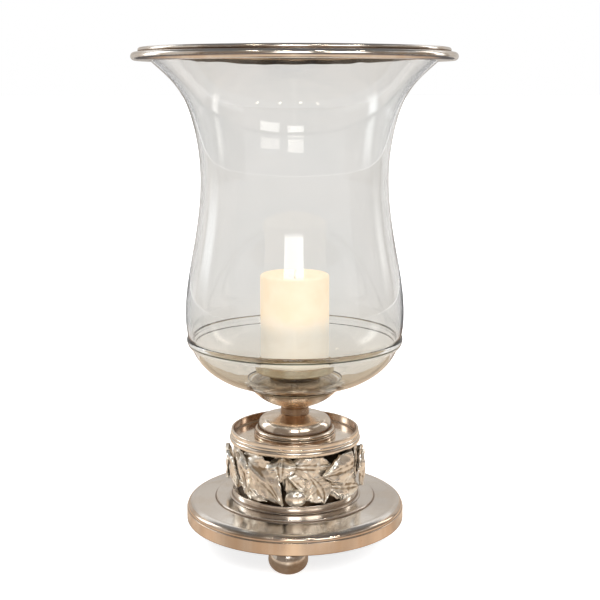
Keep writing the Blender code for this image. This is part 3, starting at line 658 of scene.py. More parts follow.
@dataclass(frozen=True)
class CharredCotton:
    """Cotton wick, charred and glowing where it burns."""

    cotton: Colour = (0.45, 0.38, 0.30)
    ember: Colour = (1.0, 0.90, 0.72)
    char: Colour = (0.018, 0.014, 0.012)
    pool: float = 0.2820
    charring: float = 0.003
    ember_strength: float = 0.9
    plait: float = 2200.0
    plait_depth: float = 0.0003

    def material(self, name: str) -> bpy.types.Material:
        """Make the finish.

        Args:
            name: Name of the material.

        Returns:
            The material.
        """
        r = Recipe(name)
        place = r.place()
        plait = r.noise(place, self.plait, 2.0)
        burnt = r.span(r.parts(place)[2], self.pool, self.pool + self.charring)
        colour = r.blend(burnt, self.cotton, self.char)
        return r.finish(r.principled(
            Base_Color=colour, Roughness=r.span(plait, 0.2, 0.8, 0.8, 1.0),
            Emission_Color=self.ember, Emission_Strength=r.times(burnt, self.ember_strength),
            Normal=r.bump(plait, self.plait_depth, 0.8)))


# Outlines, as points of radius and height that run down the outer side and up the inner side


def arc(centre: Spot, radii: Spot, start: float, end: float, count: int) -> list[Corner]:
    """Draw an arc.

    Args:
        centre: Its centre.
        radii: Its radius across and up.
        start: First angle, in degrees.
        end: Last angle, in degrees.
        count: Number of points.

    Returns:
        Its points, left sharp.
    """
    points = []
    for i in range(count):
        angle = math.radians(start + (end - start) * i / (count - 1))
        points.append((
            centre[0] + radii[0] * math.cos(angle), centre[1] + radii[1] * math.sin(angle), 0.0))
    return points


def bow(start: Spot, control: Spot, end: Spot, count: int) -> list[Corner]:
    """Draw a curve bowed towards a control point.

    Args:
        start: First point.
        control: Point that it bows towards.
        end: Last point.
        count: Number of points.

    Returns:
        Its points, left sharp.
    """
    points = []
    for i in range(count):
        t = i / (count - 1)
        spot = [
            (1 - t) ** 2 * start[k] + 2 * t * (1 - t) * control[k] + t * t * end[k]
            for k in range(2)
        ]
        points.append((spot[0], spot[1], 0.0))
    return points


def eased(corners: Sequence[Corner], count: int = 5) -> list[Spot]:
    """Round the corners of a closed outline.

    Args:
        corners: Points of (radius, height, size of the rounding).
        count: Number of points in each rounded corner.

    Returns:
        The outline.
    """
    outline: list[Spot] = []
    for i, (radius, height, size) in enumerate(corners):
        here = Vector((radius, height))
        before = Vector(corners[i - 1][:2])
        after = Vector(corners[(i + 1) % len(corners)][:2])
        back, ahead = before - here, after - here
        size = min(size, 0.45 * back.length, 0.45 * ahead.length)
        if size <= 0.0:
            outline.append((radius, height))
            continue
        first = here + back.normalized() * size
        last = here + ahead.normalized() * size
        for x, z, _ in bow(tuple(first), (radius, height), tuple(last), count):
            outline.append((x, z))
    return outline


def guarded(outline: Sequence[Spot], closed: bool) -> list[Spot]:
    """Add points near the ends of long faces, so that wear stays near the edges.

    Args:
        outline: The outline.
        closed: Whether it closes on itself.

    Returns:
        The outline with the added points.
    """
    points: list[Spot] = []
    count = len(outline) if closed else len(outline) - 1
    for i in range(count):
        a = Vector(outline[i])
        b = Vector(outline[(i + 1) % len(outline)])
        points.append(tuple(a))
        length = (b - a).length
        if length > 5.0 * EDGE_REACH:
            for reach in (0.7, 1.4, 2.2):
                points.append(tuple(a.lerp(b, reach * EDGE_REACH / length)))
            for reach in (2.2, 1.4, 0.7):
                points.append(tuple(b.lerp(a, reach * EDGE_REACH / length)))
    if not closed:
        points.append(tuple(outline[-1]))
    return points


def relief_of(outline: Sequence[Spot], closed: bool) -> list[float]:
    """Tell edges from grooves along an outline.

    Args:
        outline: The outline.
        closed: Whether it closes on itself.

    Returns:
        For each point, above 0 near an outer edge and below 0 near a groove.
    """
    spots = np.array(outline, float)
    before = np.roll(spots, 1, axis=0)
    after = np.roll(spots, -1, axis=0)
    run_in, run_out = spots - before, after - spots
    cross = run_in[:, 0] * run_out[:, 1] - run_in[:, 1] * run_out[:, 0]
    turn = -np.arctan2(cross, (run_in * run_out).sum(1))
    if not closed:
        turn[0] = turn[-1] = 0.0
    gaps = np.linalg.norm(spots[:, None] - spots[None], axis=2)
    return list((np.exp(-((gaps / EDGE_REACH) ** 2)) * turn[None]).sum(1))


def ease(value: float) -> float:
    """Ease from 0 to 1."""
    t = min(max(value, 0.0), 1.0)
    return t * t * (3 - 2 * t)


def put(
    name: str, data: bpy.types.ID, place: Sequence[float] = (0.0, 0.0, 0.0)
) -> bpy.types.Object:
    """Put a mesh, a lamp or a camera in the scene.

    Args:
        name: Name of the piece.
        data: What the piece is made of.
        place: Where it stands.

    Returns:
        The piece.
    """
    piece = bpy.data.objects.new(name, data)
    piece.location = place
    bpy.context.scene.collection.objects.link(piece)
    return piece


def note(mesh: bpy.types.Mesh, name: str, values: Sequence[float]) -> None:
    """Write a value for each point into a mesh, for its finish to read.

    Args:
        mesh: The mesh.
        name: Name of the value.
        values: The value at each point.
    """
    column = mesh.attributes.new(name, "FLOAT", "POINT")
    column.data.foreach_set("value", np.array(values, np.float32))


@contextmanager
def opened(mesh: bpy.types.Mesh) -> Iterator[bmesh.types.BMesh]:
    """Open a mesh for editing, and write it back.

    Args:
        mesh: The mesh.

    Yields:
        Its form, to edit.
    """
    form = bmesh.new()
    form.from_mesh(mesh)
    yield form
    form.to_mesh(mesh)
    form.free()


def smoothed(mesh: bpy.types.Mesh, crease: float) -> None:
    """Shade a mesh smooth, but for its creases."""
    mesh.shade_smooth()
    mesh.set_sharp_from_angle(angle=math.radians(crease))


class Lathe:
    """Turns outlines into round pieces."""

    @staticmethod
    def turn(
        name: str, corners: Sequence[Corner], steps: Round, place: Vector | None = None,
        shape: Callable[[Vector], Vector] | None = None,
    ) -> bpy.types.Object:
        """Turn an outline round the vertical axis.

        Args:
            name: Name of the piece.
            corners: Its outline, with the rounding of each corner.
            steps: Facets round it.
            place: Where its axis stands.
            shape: Change made to each point after turning.

        Returns:
            The piece.
        """
        on_axis = corners[0][0] == 0.0 and corners[-1][0] == 0.0
        outline = guarded(eased(corners), not on_axis)
        relief = relief_of(outline, not on_axis)
        count, turns = len(outline), steps.value
        angles = [math.tau * k / turns for k in range(turns)]
        points = [
            Vector((radius * math.cos(angle), radius * math.sin(angle), height))
            for angle in angles for radius, height in outline
        ]
        if shape is not None:
            points = [shape(point) for point in points]
        faces = []
        for k in range(turns):
            here, there = k * count, (k + 1) % turns * count
            for i in range(count - 1 if on_axis else count):
                j = (i + 1) % count
                faces.append((here + i, here + j, there + j, there + i))
        mesh = bpy.data.meshes.new(name)
        mesh.from_pydata(points, [], faces)
        note(mesh, "relief", relief * turns)
        if on_axis:
            with opened(mesh) as form:
                bmesh.ops.remove_doubles(form, verts=form.verts, dist=WELD)
        smoothed(mesh, TURNED_CREASE)
        return put(name, mesh, place or Vector())


def dress(
    piece: bpy.types.Object, finish: object, slot: Slot, body: Body, *nodes: str
) -> bpy.types.Object:
    """Give a piece its finish, its body and the solids that it stands for.

    Args:
        piece: The piece.
        finish: Its finish.
        slot: Its material slot in the record. Not used.
        body: What it moves with.
        nodes: Solids that it stands for.

    Returns:
        The piece.
    """
    piece.data.materials.clear()
    piece.data.materials.append(finish.material(piece.name))
    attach(piece, body.value)
    if nodes:
        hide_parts(*nodes)
    LOG.info("%s: %d faces, moves with %s", piece.name, len(piece.data.polygons), body.value)
    return piece


def refinish(node: str, finish: object) -> None:
    """Give a solid of the frame a finish of its own.

    Args:
        node: The solid.
        finish: Its finish.
    """
    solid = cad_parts[node]
    solid.data.materials.clear()
    solid.data.materials.append(finish.material(node + "_finish"))
    LOG.info("%s: keeps its solid", node)


# Stand, from the floor up


@dataclass
class Feet:
    """Ball feet, flat where they meet the floor and the base."""

    names: tuple[str, ...] = ("foot_front", "foot_rear_right", "foot_rear_left")
    ball: float = 0.0198
    drop: float = 0.0145
    rise: float = 0.0213
    centre: float = 0.0127
    height: float = 0.0320
    hole: float = 0.0029
    reach: float = 0.0143
    finish: SilverPlate = SilverPlate(patches=0.85, warm=(0.62, 0.49, 0.37), roughness=0.12)

    def build(self) -> None:
        """Turn the feet, each where its solid stands."""
        top = math.degrees(math.asin((self.height - self.centre) / self.rise))
        low = math.degrees(math.asin(-self.centre / self.drop))
        depth = self.height - self.reach
        outline = [
            (0.0, depth, 0.0), (self.hole, depth, 0.0), (self.hole, self.height, 0.0),
            *arc((0.0, self.centre), (self.ball, self.rise), top, 0, 24),
            *arc((0.0, self.centre), (self.ball, self.drop), 0, low, 20)[1:],
            (0.0, 0.0, 0.0),
        ]
        for name in self.names:
            low_corner, high_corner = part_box(name)
            middle = (low_corner + high_corner) / 2
            piece = Lathe.turn(
                name + "_ball", outline, Round.SMALL, Vector((middle.x, middle.y, 0.0)))
            dress(piece, self.finish, Slot.SILVER, Body.STAND, name)


@dataclass
class Base:
    """Stepped round base with its collar."""

    radius: float = 0.1123
    wall: float = 0.0025
    bottom: float = 0.0323
    band: float = 0.0129
    groove_depth: float = 0.0010
    groove: float = 0.0012
    ovolo_width: float = 0.0098
    ovolo: float = 0.0056
    slope: float = 0.0021
    step_radius: float = 0.0817
    step: float = 0.0020
    shoulder: float = 0.0413
    collar_radius: float = 0.0649
    collar: float = 0.0074
    flare_width: float = 0.0032
    flare: float = 0.0024
    drum_radius: float = DRUM_RADIUS

    @property
    def top(self) -> float:
        """Height of the top of the base."""
        return self.bottom + self.band + self.groove + self.ovolo + self.slope + self.step

    def cover(self) -> bpy.types.Object:
        """Turn the spun shell of the base.

        Returns:
            The shell.
        """
        band_top = self.bottom + self.band
        ovolo_low = band_top + self.groove
        ovolo_top = ovolo_low + self.ovolo
        slope_top = ovolo_top + self.slope
        lip = self.radius - self.groove_depth
        ovolo_in = lip - self.ovolo_width
        inside = self.radius - self.wall
        step_in = self.step_radius - self.wall
        return Lathe.turn("base_shell", [
            (BORE_RADIUS, self.top, 0.0),
            (self.step_radius, self.top, 0.0009),
            (self.step_radius, slope_top, 0.0004),
            *arc((ovolo_in, ovolo_low), (self.ovolo_width, self.ovolo), 90, 0, 22),
            (lip, band_top, 0.0003),
            (self.radius, band_top - self.groove_depth / 2, 0.0006),
            (self.radius, self.bottom, 0.0007),
            (inside, self.bottom, 0.0),
            (inside, self.shoulder, 0.0),
            (inside - self.wall, self.shoulder, 0.0),
            (ovolo_in, ovolo_top - self.wall, 0.0),
            (step_in, slope_top - self.wall, 0.0),
            (step_in, self.top - self.wall, 0.0),
            (BORE_RADIUS, self.top - self.wall, 0.0),
        ], Round.LARGE)

    def ring(self) -> bpy.types.Object:
        """Turn the collar with its flared foot.

        Returns:
            The collar.
        """
        low = self.top + CLEARANCE
        top = low + self.collar
        out = self.collar_radius + self.flare_width
        return Lathe.turn("base_ring", [
            (self.collar_radius, top, 0.0012),
            (self.collar_radius, low + self.flare * 1.35, 0.0004),
            *arc((out, low + self.flare), (self.flare_width, self.flare), 175, 262, 10),
            (out, low, 0.0003),
            (self.drum_radius + CLEARANCE, low, 0.0),
            (self.drum_radius + CLEARANCE, top, 0.0),
        ], Round.LARGE)

    def build(self) -> None:
        """Build and dress the base."""
        copper_top = self.bottom + self.band + self.ovolo
        dress(self.cover(), SilverPlate(copper_below=copper_top, patches=0.35),
              Slot.SILVER, Body.STAND, "base_cover")
        dress(self.ring(), SilverPlate(patches=0.55), Slot.SILVER, Body.STAND, "base_collar")


@dataclass
class Drum:
    """Dark tube behind the leaves."""

    radius: float = DRUM_RADIUS
    wall: float = 0.0030
    bottom: float = 0.0564
    height: float = 0.0591

    def build(self) -> None:
        """Turn and dress the drum."""
        top = self.bottom + self.height
        inside = self.radius - self.wall
        piece = Lathe.turn("drum_tube", [
            (self.radius, top, 0.0003), (self.radius, self.bottom, 0.0003),
            (inside, self.bottom, 0.0), (inside, top, 0.0),
        ], Round.LARGE)
        dress(piece, DarkMetal(), Slot.DRUM, Body.STAND, "drum")


@dataclass(frozen=True)
class Leaf:
    """Plan of one leaf on the garland laid flat, as (degrees round, share of the height)."""

    stalk: Spot
    tip: Spot
    half_width: float
    widest: float
    bend: float
    first: float
    layer: float
    curl: float


@dataclass
class Garland:
    """Cast leaves and berries wrapped round the drum."""

    drum_radius: float = DRUM_RADIUS
    bottom: float = 0.0643
    top: float = 0.1137
    thickness: float = 0.0012
    fold: float = 0.0021
    arch: float = 0.0005
    layer_gap: float = 0.0005
    sheet: float = 42.7
    stalk_width: float = 0.42
    tip_width: float = 0.07
    rise_share: float = 0.35
    curl_from: float = 0.60
    berry: Spot = (0.6, 0.18)
    berry_half: Spot = (9.4, 0.18)
    berry_depth: float = 0.0120
    spread: float = 1.12
    rib_width: float = 0.07
    groove_place: float = 0.17
    groove_width: float = 0.09
    side_veins: float = 6.5
    vein_sweep: float = 0.22
    vein_stagger: float = 0.05
    lump_cells: Spot = (3.2, 1.6)
    berry_facets: tuple[int, int] = (72, 40)
    dimple_depth: float = 0.10
    seam_depth: float = 0.020
    teeth: float = 8.0
    tooth_depth: float = 0.12
    rib_height: float = 0.00040
    groove_depth: float = 0.00035
    pillow_height: float = 0.00055
    lump_height: float = 0.0022
    tilt_height: float = 0.0011
    tilt_sunk: float = -0.0006
    frill_height: float = 0.0018
    back_tone: float = 0.6
    long: int = 64
    wide: int = 32
    finish: CastSilver = CastSilver()
    spray: tuple[Leaf, ...] = (
        Leaf((-68.0, 0.11), (-84.0, 0.82), 0.27, 0.45, 0.03, 0, 1, 0.9),
        Leaf((-72.5, 0.96), (-67.0, 0.46), 0.19, 0.45, 0.00, 0, 0, 0.0),
        Leaf((-62.0, 0.28), (-25.5, 0.07), 0.22, 0.40, 0.04, 0, 0, 0.6),
        Leaf((-56.0, 0.88), (-10.0, 0.04), 0.36, 0.42, 0.11, 0, 1, 0.9),
        Leaf((-58.0, 0.95), (-44.0, 0.18), 0.17, 0.45, 0.06, 1.2, 1.6, 0.1),
        Leaf((-12.0, 0.98), (-11.2, 0.55), 0.28, 0.28, 0.00, 0, 2, 0.1),
        Leaf((-1.5, 0.82), (34.0, 0.80), 0.25, 0.46, 0.00, 0.3, 1, 0.0),
        Leaf((-9.5, 0.66), (18.0, 0.08), 0.26, 0.42, -0.01, 0, 0, 0.3),
        Leaf((14.0, 0.59), (25.0, 0.05), 0.30, 0.58, 0.05, 1, 1, 0.5),
        Leaf((69.0, 0.68), (23.0, 0.62), 0.31, 0.50, -0.04, 0, 2, 0.1),
        Leaf((32.0, 0.34), (75.0, 0.12), 0.28, 0.45, 0.02, 0, 1, 0.2),
        Leaf((80.0, 0.10), (81.0, 0.84), 0.25, 0.50, 0.00, 2, 2, 0.1),
        Leaf((91.0, 0.93), (90.0, 0.13), 0.20, 0.45, 0.00, 0, 0, 0.0),
    )

    @property
    def pitch(self) -> float:
        """Distance from one layer of leaves to the next."""
        return self.fold + self.arch + self.thickness + self.layer_gap

    def spot(self, degrees: float, share: float, radius: float) -> Vector:
        """Find the place of a point of the flat sheet on the drum.

        Args:
            degrees: Place round the drum, from the front.
            share: Place up the garland, from 0 to 1.
            radius: Distance from the axis.

        Returns:
            The point.
        """
        angle = math.radians(degrees)
        height = self.bottom + (self.top - self.bottom) * min(max(share, 0.0), 1.0)
        return Vector((radius * math.sin(angle), -radius * math.cos(angle), height))

    def breadth(self, leaf: Leaf, along: float) -> float:
        """Half width of a leaf's outline as a share of its widest.

        Args:
            leaf: Its plan.
            along: Place from the stalk to the tip, 0 to 1.

        Returns:
            The share.
        """
        if along < leaf.widest:
            swell = math.sin(math.pi / 2 * along / leaf.widest)
            return self.stalk_width + (1 - self.stalk_width) * swell
        fall = math.cos(math.pi / 2 * (along - leaf.widest) / (1 - leaf.widest))
        return max(fall, self.tip_width)

    def veins(self, along: float, across: float) -> tuple[float, float]:
        """Relief of the midrib, the side veins and the pillows between them.

        Args:
            along: Place from the stalk to the tip, 0 to 1.
            across: Place from the midrib to the edge, -1 to 1.

        Returns:
            Height in metres, and the tone from -1 in a hollow to 1 on a ridge.
        """
        side = abs(across)
        stagger = self.vein_stagger if across > 0 else 0.0
        rib = math.exp(-((side / self.rib_width) ** 2)) * (1.0 - 0.6 * along)
        beside = math.exp(-(((side - self.groove_place) / self.groove_width) ** 2))
        line = self.side_veins * (along - self.vein_sweep * side**1.3 - stagger)
        pillow = abs(math.sin(math.pi * line)) ** 0.6 * math.sin(math.pi * min(side, 1.0)) ** 0.7
        height = (self.rib_height * rib - self.groove_depth * beside
                  + self.pillow_height * pillow)
        return height, 0.8 * rib - 0.65 * beside + 0.55 * (pillow - 0.60)

    def leaf(self, name: str, turn: float, leaf: Leaf, seed: int) -> bpy.types.Object:
        """Cast one leaf, veined, with a ragged edge that lifts here and there.

        Args:
            name: Name of the piece.
            turn: Turn of its spray round the drum, in degrees.
            leaf: Its plan.
            seed: Number that makes its unevenness its own.

        Returns:
            The piece.
        """
        inner = self.drum_radius + 2 * CLEARANCE
        run = Vector(((leaf.tip[0] - leaf.stalk[0]) / self.sheet, leaf.tip[1] - leaf.stalk[1]))
        side = Vector((-run.y, run.x)).normalized()
        shift = Vector((seed * 7.3, seed * 3.1, 0.0))
        front, back, tones = [], [], []
        for i in range(self.long + 1):
            along = i / self.long
            for j in range(self.wide + 1):
                across = 2 * j / self.wide - 1
                edge = abs(across)
                tooth = 0.5 + 0.5 * math.sin(math.tau * (along * self.teeth + 0.25 * across))
                ragged = 1.0 - self.tooth_depth * tooth * edge**3 * math.sin(math.pi * along)
                bowed = leaf.bend * 4 * along * (1 - along)
                breadth = self.spread * leaf.half_width * self.breadth(leaf, along)
                place = run * along + side * (bowed + across * ragged * breadth)
                climb = (leaf.layer - leaf.first) * ease(along / self.rise_share)
                rise = (leaf.first + climb) * self.pitch
                fold = self.fold * (1 - edge**1.25)
                lift = leaf.curl * self.pitch * ease(
                    (along - self.curl_from) / (1 - self.curl_from))
                spot = Vector((
                    along * self.lump_cells[0], across * self.lump_cells[1], 0.0)) + shift
                wave = noise.noise(spot)
                lump = 0.9 * noise.noise(spot * 1.1) + 0.18 * noise.noise(spot * 3.1)
                tilt = self.tilt_height * across * math.sin(
                    math.tau * (along * 0.8 + 0.37 * seed))
                frill = edge**3 * max(0.0, 0.35 + wave) * self.frill_height * math.sin(
                    math.pi * along)
                veins, tone = self.veins(along, across)
                low = inner + rise + fold + self.arch * math.sin(math.pi * along) + lift + frill
                deep = self.thickness * (1.0 - 0.55 * edge**5)
                high = low + deep + veins + self.lump_height * lump + max(tilt, self.tilt_sunk)
                tone += lump - 0.25 * edge**8
                degrees = turn + leaf.stalk[0] + place.x * self.sheet
                share = leaf.stalk[1] + place.y
                front.append(self.spot(degrees, share, high))
                back.append(self.spot(degrees, share, low))
                tones.append(tone + 0.5 * edge**6 - 0.35 * (1.0 - ease(along / 0.25)))
        return self.shell(name, front, back, tones)

    def shell(
        self, name: str, front: list[Vector], back: list[Vector], tones: list[float]
    ) -> bpy.types.Object:
        """Close the front and the back of a leaf into one solid.

        Args:
            name: Name of the piece.
            front: Points of its face, row by row.
            back: Points of its back.
            tones: Tone of each point of the face.

        Returns:
            The piece.
        """
        row = self.wide + 1
        size = len(front)
        faces = []
        for i in range(self.long):
            for j in range(self.wide):
                a = i * row + j
                faces.append((a, a + 1, a + row + 1, a + row))
                faces.append((size + a, size + a + row, size + a + row + 1, size + a + 1))
        rim = list(range(self.wide))
        rim += [i * row + self.wide for i in range(self.long)]
        rim += [self.long * row + j for j in range(self.wide, 0, -1)]
        rim += [i * row for i in range(self.long, 0, -1)]
        for a, b in zip(rim, rim[1:] + rim[:1]):
            faces.append((b, a, size + a, size + b))
        mesh = bpy.data.meshes.new(name)
        mesh.from_pydata(front + back, [], faces)
        note(mesh, "relief", tones + [tone - self.back_tone for tone in tones])
        with opened(mesh) as form:
            bmesh.ops.recalc_face_normals(form, faces=form.faces)
        smoothed(mesh, CAST_CREASE)
        return put(name, mesh)

    def berry_piece(self, name: str, turn: float) -> bpy.types.Object:
        """Cast a round berry with a dimple and faint seams.

        Args:
            name: Name of the piece.
            turn: Turn of its spray round the drum, in degrees.

        Returns:
            The piece.
        """
        radius = self.drum_radius + CLEARANCE + self.berry_depth / 2
        half = Vector((
            radius * math.sin(math.radians(self.berry_half[0])), self.berry_depth / 2,
            (self.top - self.bottom) * self.berry_half[1]))
        mesh = bpy.data.meshes.new(name)
        across, up = self.berry_facets
        with opened(mesh) as form:
            bmesh.ops.create_uvsphere(form, u_segments=across, v_segments=up, radius=1.0)
            tones = form.verts.layers.float.new("relief")
            for vert in form.verts:
                way = vert.co.copy()
                around = math.atan2(way.x, -way.y)
                dimple = math.exp(-(((way.x - 0.12) / 0.16) ** 2 + ((way.z - 0.62) / 0.14) ** 2))
                seam = math.exp(-(((around - 0.55 * way.z) / 0.09) ** 2)) * (way.z > -0.2)
                vert.co = way * (1.0 - self.dimple_depth * dimple - self.seam_depth * seam)
                # The lower half is darker: painted shade. The dimple and seams are darker with
                # patina.
                vert[tones] = 0.25 - 1.3 * dimple - 0.5 * seam - 0.5 * max(0.0, -way.z)
            bmesh.ops.scale(form, vec=half, verts=form.verts)
        mesh.shade_smooth()
        piece = put(name, mesh, self.spot(turn + self.berry[0], self.berry[1], radius))
        piece.rotation_euler.z = math.radians(turn + self.berry[0])
        return piece

    def build(self) -> None:
        """Cast and dress both sprays."""
        for number, spray in enumerate(("front", "rear")):
            turn = 180.0 * number
            for index, leaf in enumerate(self.spray, start=1):
                node = f"{spray}_leaf_{index:02d}"
                piece = self.leaf(node + "_cast", turn, leaf, index + 20 * number)
                dress(piece, self.finish, Slot.CAST, Body.STAND, node)
            berry = self.berry_piece(spray + "_berry_cast", turn)
            dress(berry, self.finish, Slot.CAST, Body.STAND, spray + "_berry")


@dataclass
class Tray:
    """Gallery tray with a band over two beads."""

    radius: float = 0.0656
    wall: float = 0.0024
    floor: float = 0.0025
    floor_bottom: float = 0.1158
    depth: float = 0.0085
    small: float = 0.0015
    small_proud: float = 0.0008
    large: float = 0.0028
    large_proud: float = 0.0017
    band: float = 0.0040

    def build(self) -> None:
        """Turn and dress the tray."""
        floor_top = self.floor_bottom + self.floor
        top = floor_top + self.depth
        small_centre = top - self.band - self.small
        large_centre = small_centre - self.small - self.large
        bottom = large_centre - self.large
        inside = self.radius - self.wall
        piece = Lathe.turn("tray_spun", [
            (self.radius, top, 0.0010),
            *arc((self.radius, small_centre), (self.small_proud, self.small), 88, -88, 12),
            *arc((self.radius, large_centre), (self.large_proud, self.large), 82, -90, 18),
            (inside, bottom, 0.0005),
            (inside - self.floor / 2, self.floor_bottom, 0.0003),
            (BORE_RADIUS, self.floor_bottom, 0.0),
            (BORE_RADIUS, floor_top, 0.0),
            (inside, floor_top, 0.0012),
            (inside, top, 0.0008),
        ], Round.LARGE)
        # The tray is darker on its inner wall above its floor.
        finish = SilverPlate(
            patches=0.75, wear=0.75, bright=(0.95, 0.89, 0.80), warm=(0.88, 0.74, 0.58),
            dark_tint=(0.26, 0.13, 0.06), dark_tinted_within=inside + 0.0008,
            dark_tinted_above=floor_top + 0.002)
        dress(piece, finish, Slot.SILVER, Body.STAND, "gallery_tray")


@dataclass
class Socle:
    """Turned foot of the cup: band, bead, round shoulder and a low cone."""

    radius: float = 0.0421
    bottom: float = 0.1186
    band: float = 0.0043
    bead_radius: float = 0.0412
    bead: float = 0.0046
    shoulder_radius: float = 0.0385
    shoulder: float = 0.0112
    cone_radius: float = 0.0310
    cone: float = 0.0035
    wall: float = 0.0030
    neck: float = NECK_RADIUS

    def build(self) -> None:
        """Turn and dress the socle."""
        band_top = self.bottom + self.band
        shoulder_low = band_top + self.bead
        cone_low = shoulder_low + self.shoulder
        top = cone_low + self.cone
        half = self.bead / 2
        cavity_top = cone_low - self.wall
        piece = Lathe.turn("socle_turned", [
            *bow((self.neck + CLEARANCE, top), (self.neck + 0.0060, top - self.cone * 0.62),
                 (self.cone_radius, cone_low), 14),
            *arc((self.cone_radius, shoulder_low),
                 (self.shoulder_radius - self.cone_radius, self.shoulder), 80, 4, 26),
            (self.shoulder_radius - 0.0002, shoulder_low + 0.0002, 0.0),
            *arc((self.bead_radius - half, band_top + half), (half, half), 72, -72, 16),
            (self.radius - 0.0005, band_top, 0.0003),
            (self.radius, band_top - 0.0005, 0.0004),
            (self.radius, self.bottom, 0.0004),
            (self.radius - self.wall, self.bottom, 0.0),
            (self.radius - self.wall, band_top - 0.0006, 0.0),
            (self.shoulder_radius - self.wall, shoulder_low, 0.0),
            (self.cone_radius - self.wall, cavity_top, 0.0),
            (BORE_RADIUS, cavity_top, 0.0),
            (BORE_RADIUS, top, 0.0),
        ], Round.MEDIUM)
        dress(piece, SilverPlate(patches=0.8, bright=(0.87, 0.78, 0.67), warm=(0.74, 0.59, 0.45)),
              Slot.SILVER, Body.STAND, "socle")


@dataclass
class GlassCup:
    """Silver saucer with a neck, under the glass."""

    radius: float = 0.0450
    bottom: float = 0.1516
    top: float = 0.1690
    neck: float = NECK_RADIUS
    neck_bottom: float = 0.1425
    foot: float = 0.0160
    belly: float = 0.0325
    belly_drop: float = 0.0140
    wall: float = 0.0024
    land: float = 0.0060

    def build(self) -> None:
        """Turn and dress the cup."""
        control = (self.belly, self.top - self.belly_drop)
        outside = bow((self.radius, self.top), control, (self.foot, self.bottom), 34)
        land = self.radius - self.land
        inside = []
        for i, (radius, height, _) in enumerate(outside):
            before, after = outside[max(i - 1, 0)], outside[min(i + 1, len(outside) - 1)]
            run = Vector((after[0] - before[0], after[1] - before[1])).normalized()
            spot = (radius + run.y * self.wall, height - run.x * self.wall, 0.0)
            if spot[0] < land and spot[1] < self.top - self.wall / 2:
                inside.append(spot)
        lip = self.bottom - (self.foot - self.neck)
        piece = Lathe.turn("cup_spun", [
            *outside[:-1],
            (self.foot, self.bottom, 0.0005),
            (self.neck + 0.0004, lip, 0.0006),
            (self.neck - 0.0006, lip - 0.0012, 0.0005),
            (self.neck, self.neck_bottom, 0.0004),
            (BORE_RADIUS, self.neck_bottom, 0.0),
            (BORE_RADIUS, inside[-1][1], 0.0),
            *reversed(inside),
            (land, self.top, 0.0),
        ], Round.MEDIUM)
        # Painted reflection: the neck is darkened in place of the dark tray that it reflects.
        finish = SilverPlate(
            patches=0.45, bright=(1.0, 0.88, 0.75), warm=(1.0, 0.84, 0.68), roughness=0.20,
            dark_tinted_within=self.neck + 0.0016, dark_tinted_above=0.0)
        dress(piece, finish, Slot.SILVER, Body.STAND, "glass_cup")


# Glass and rim


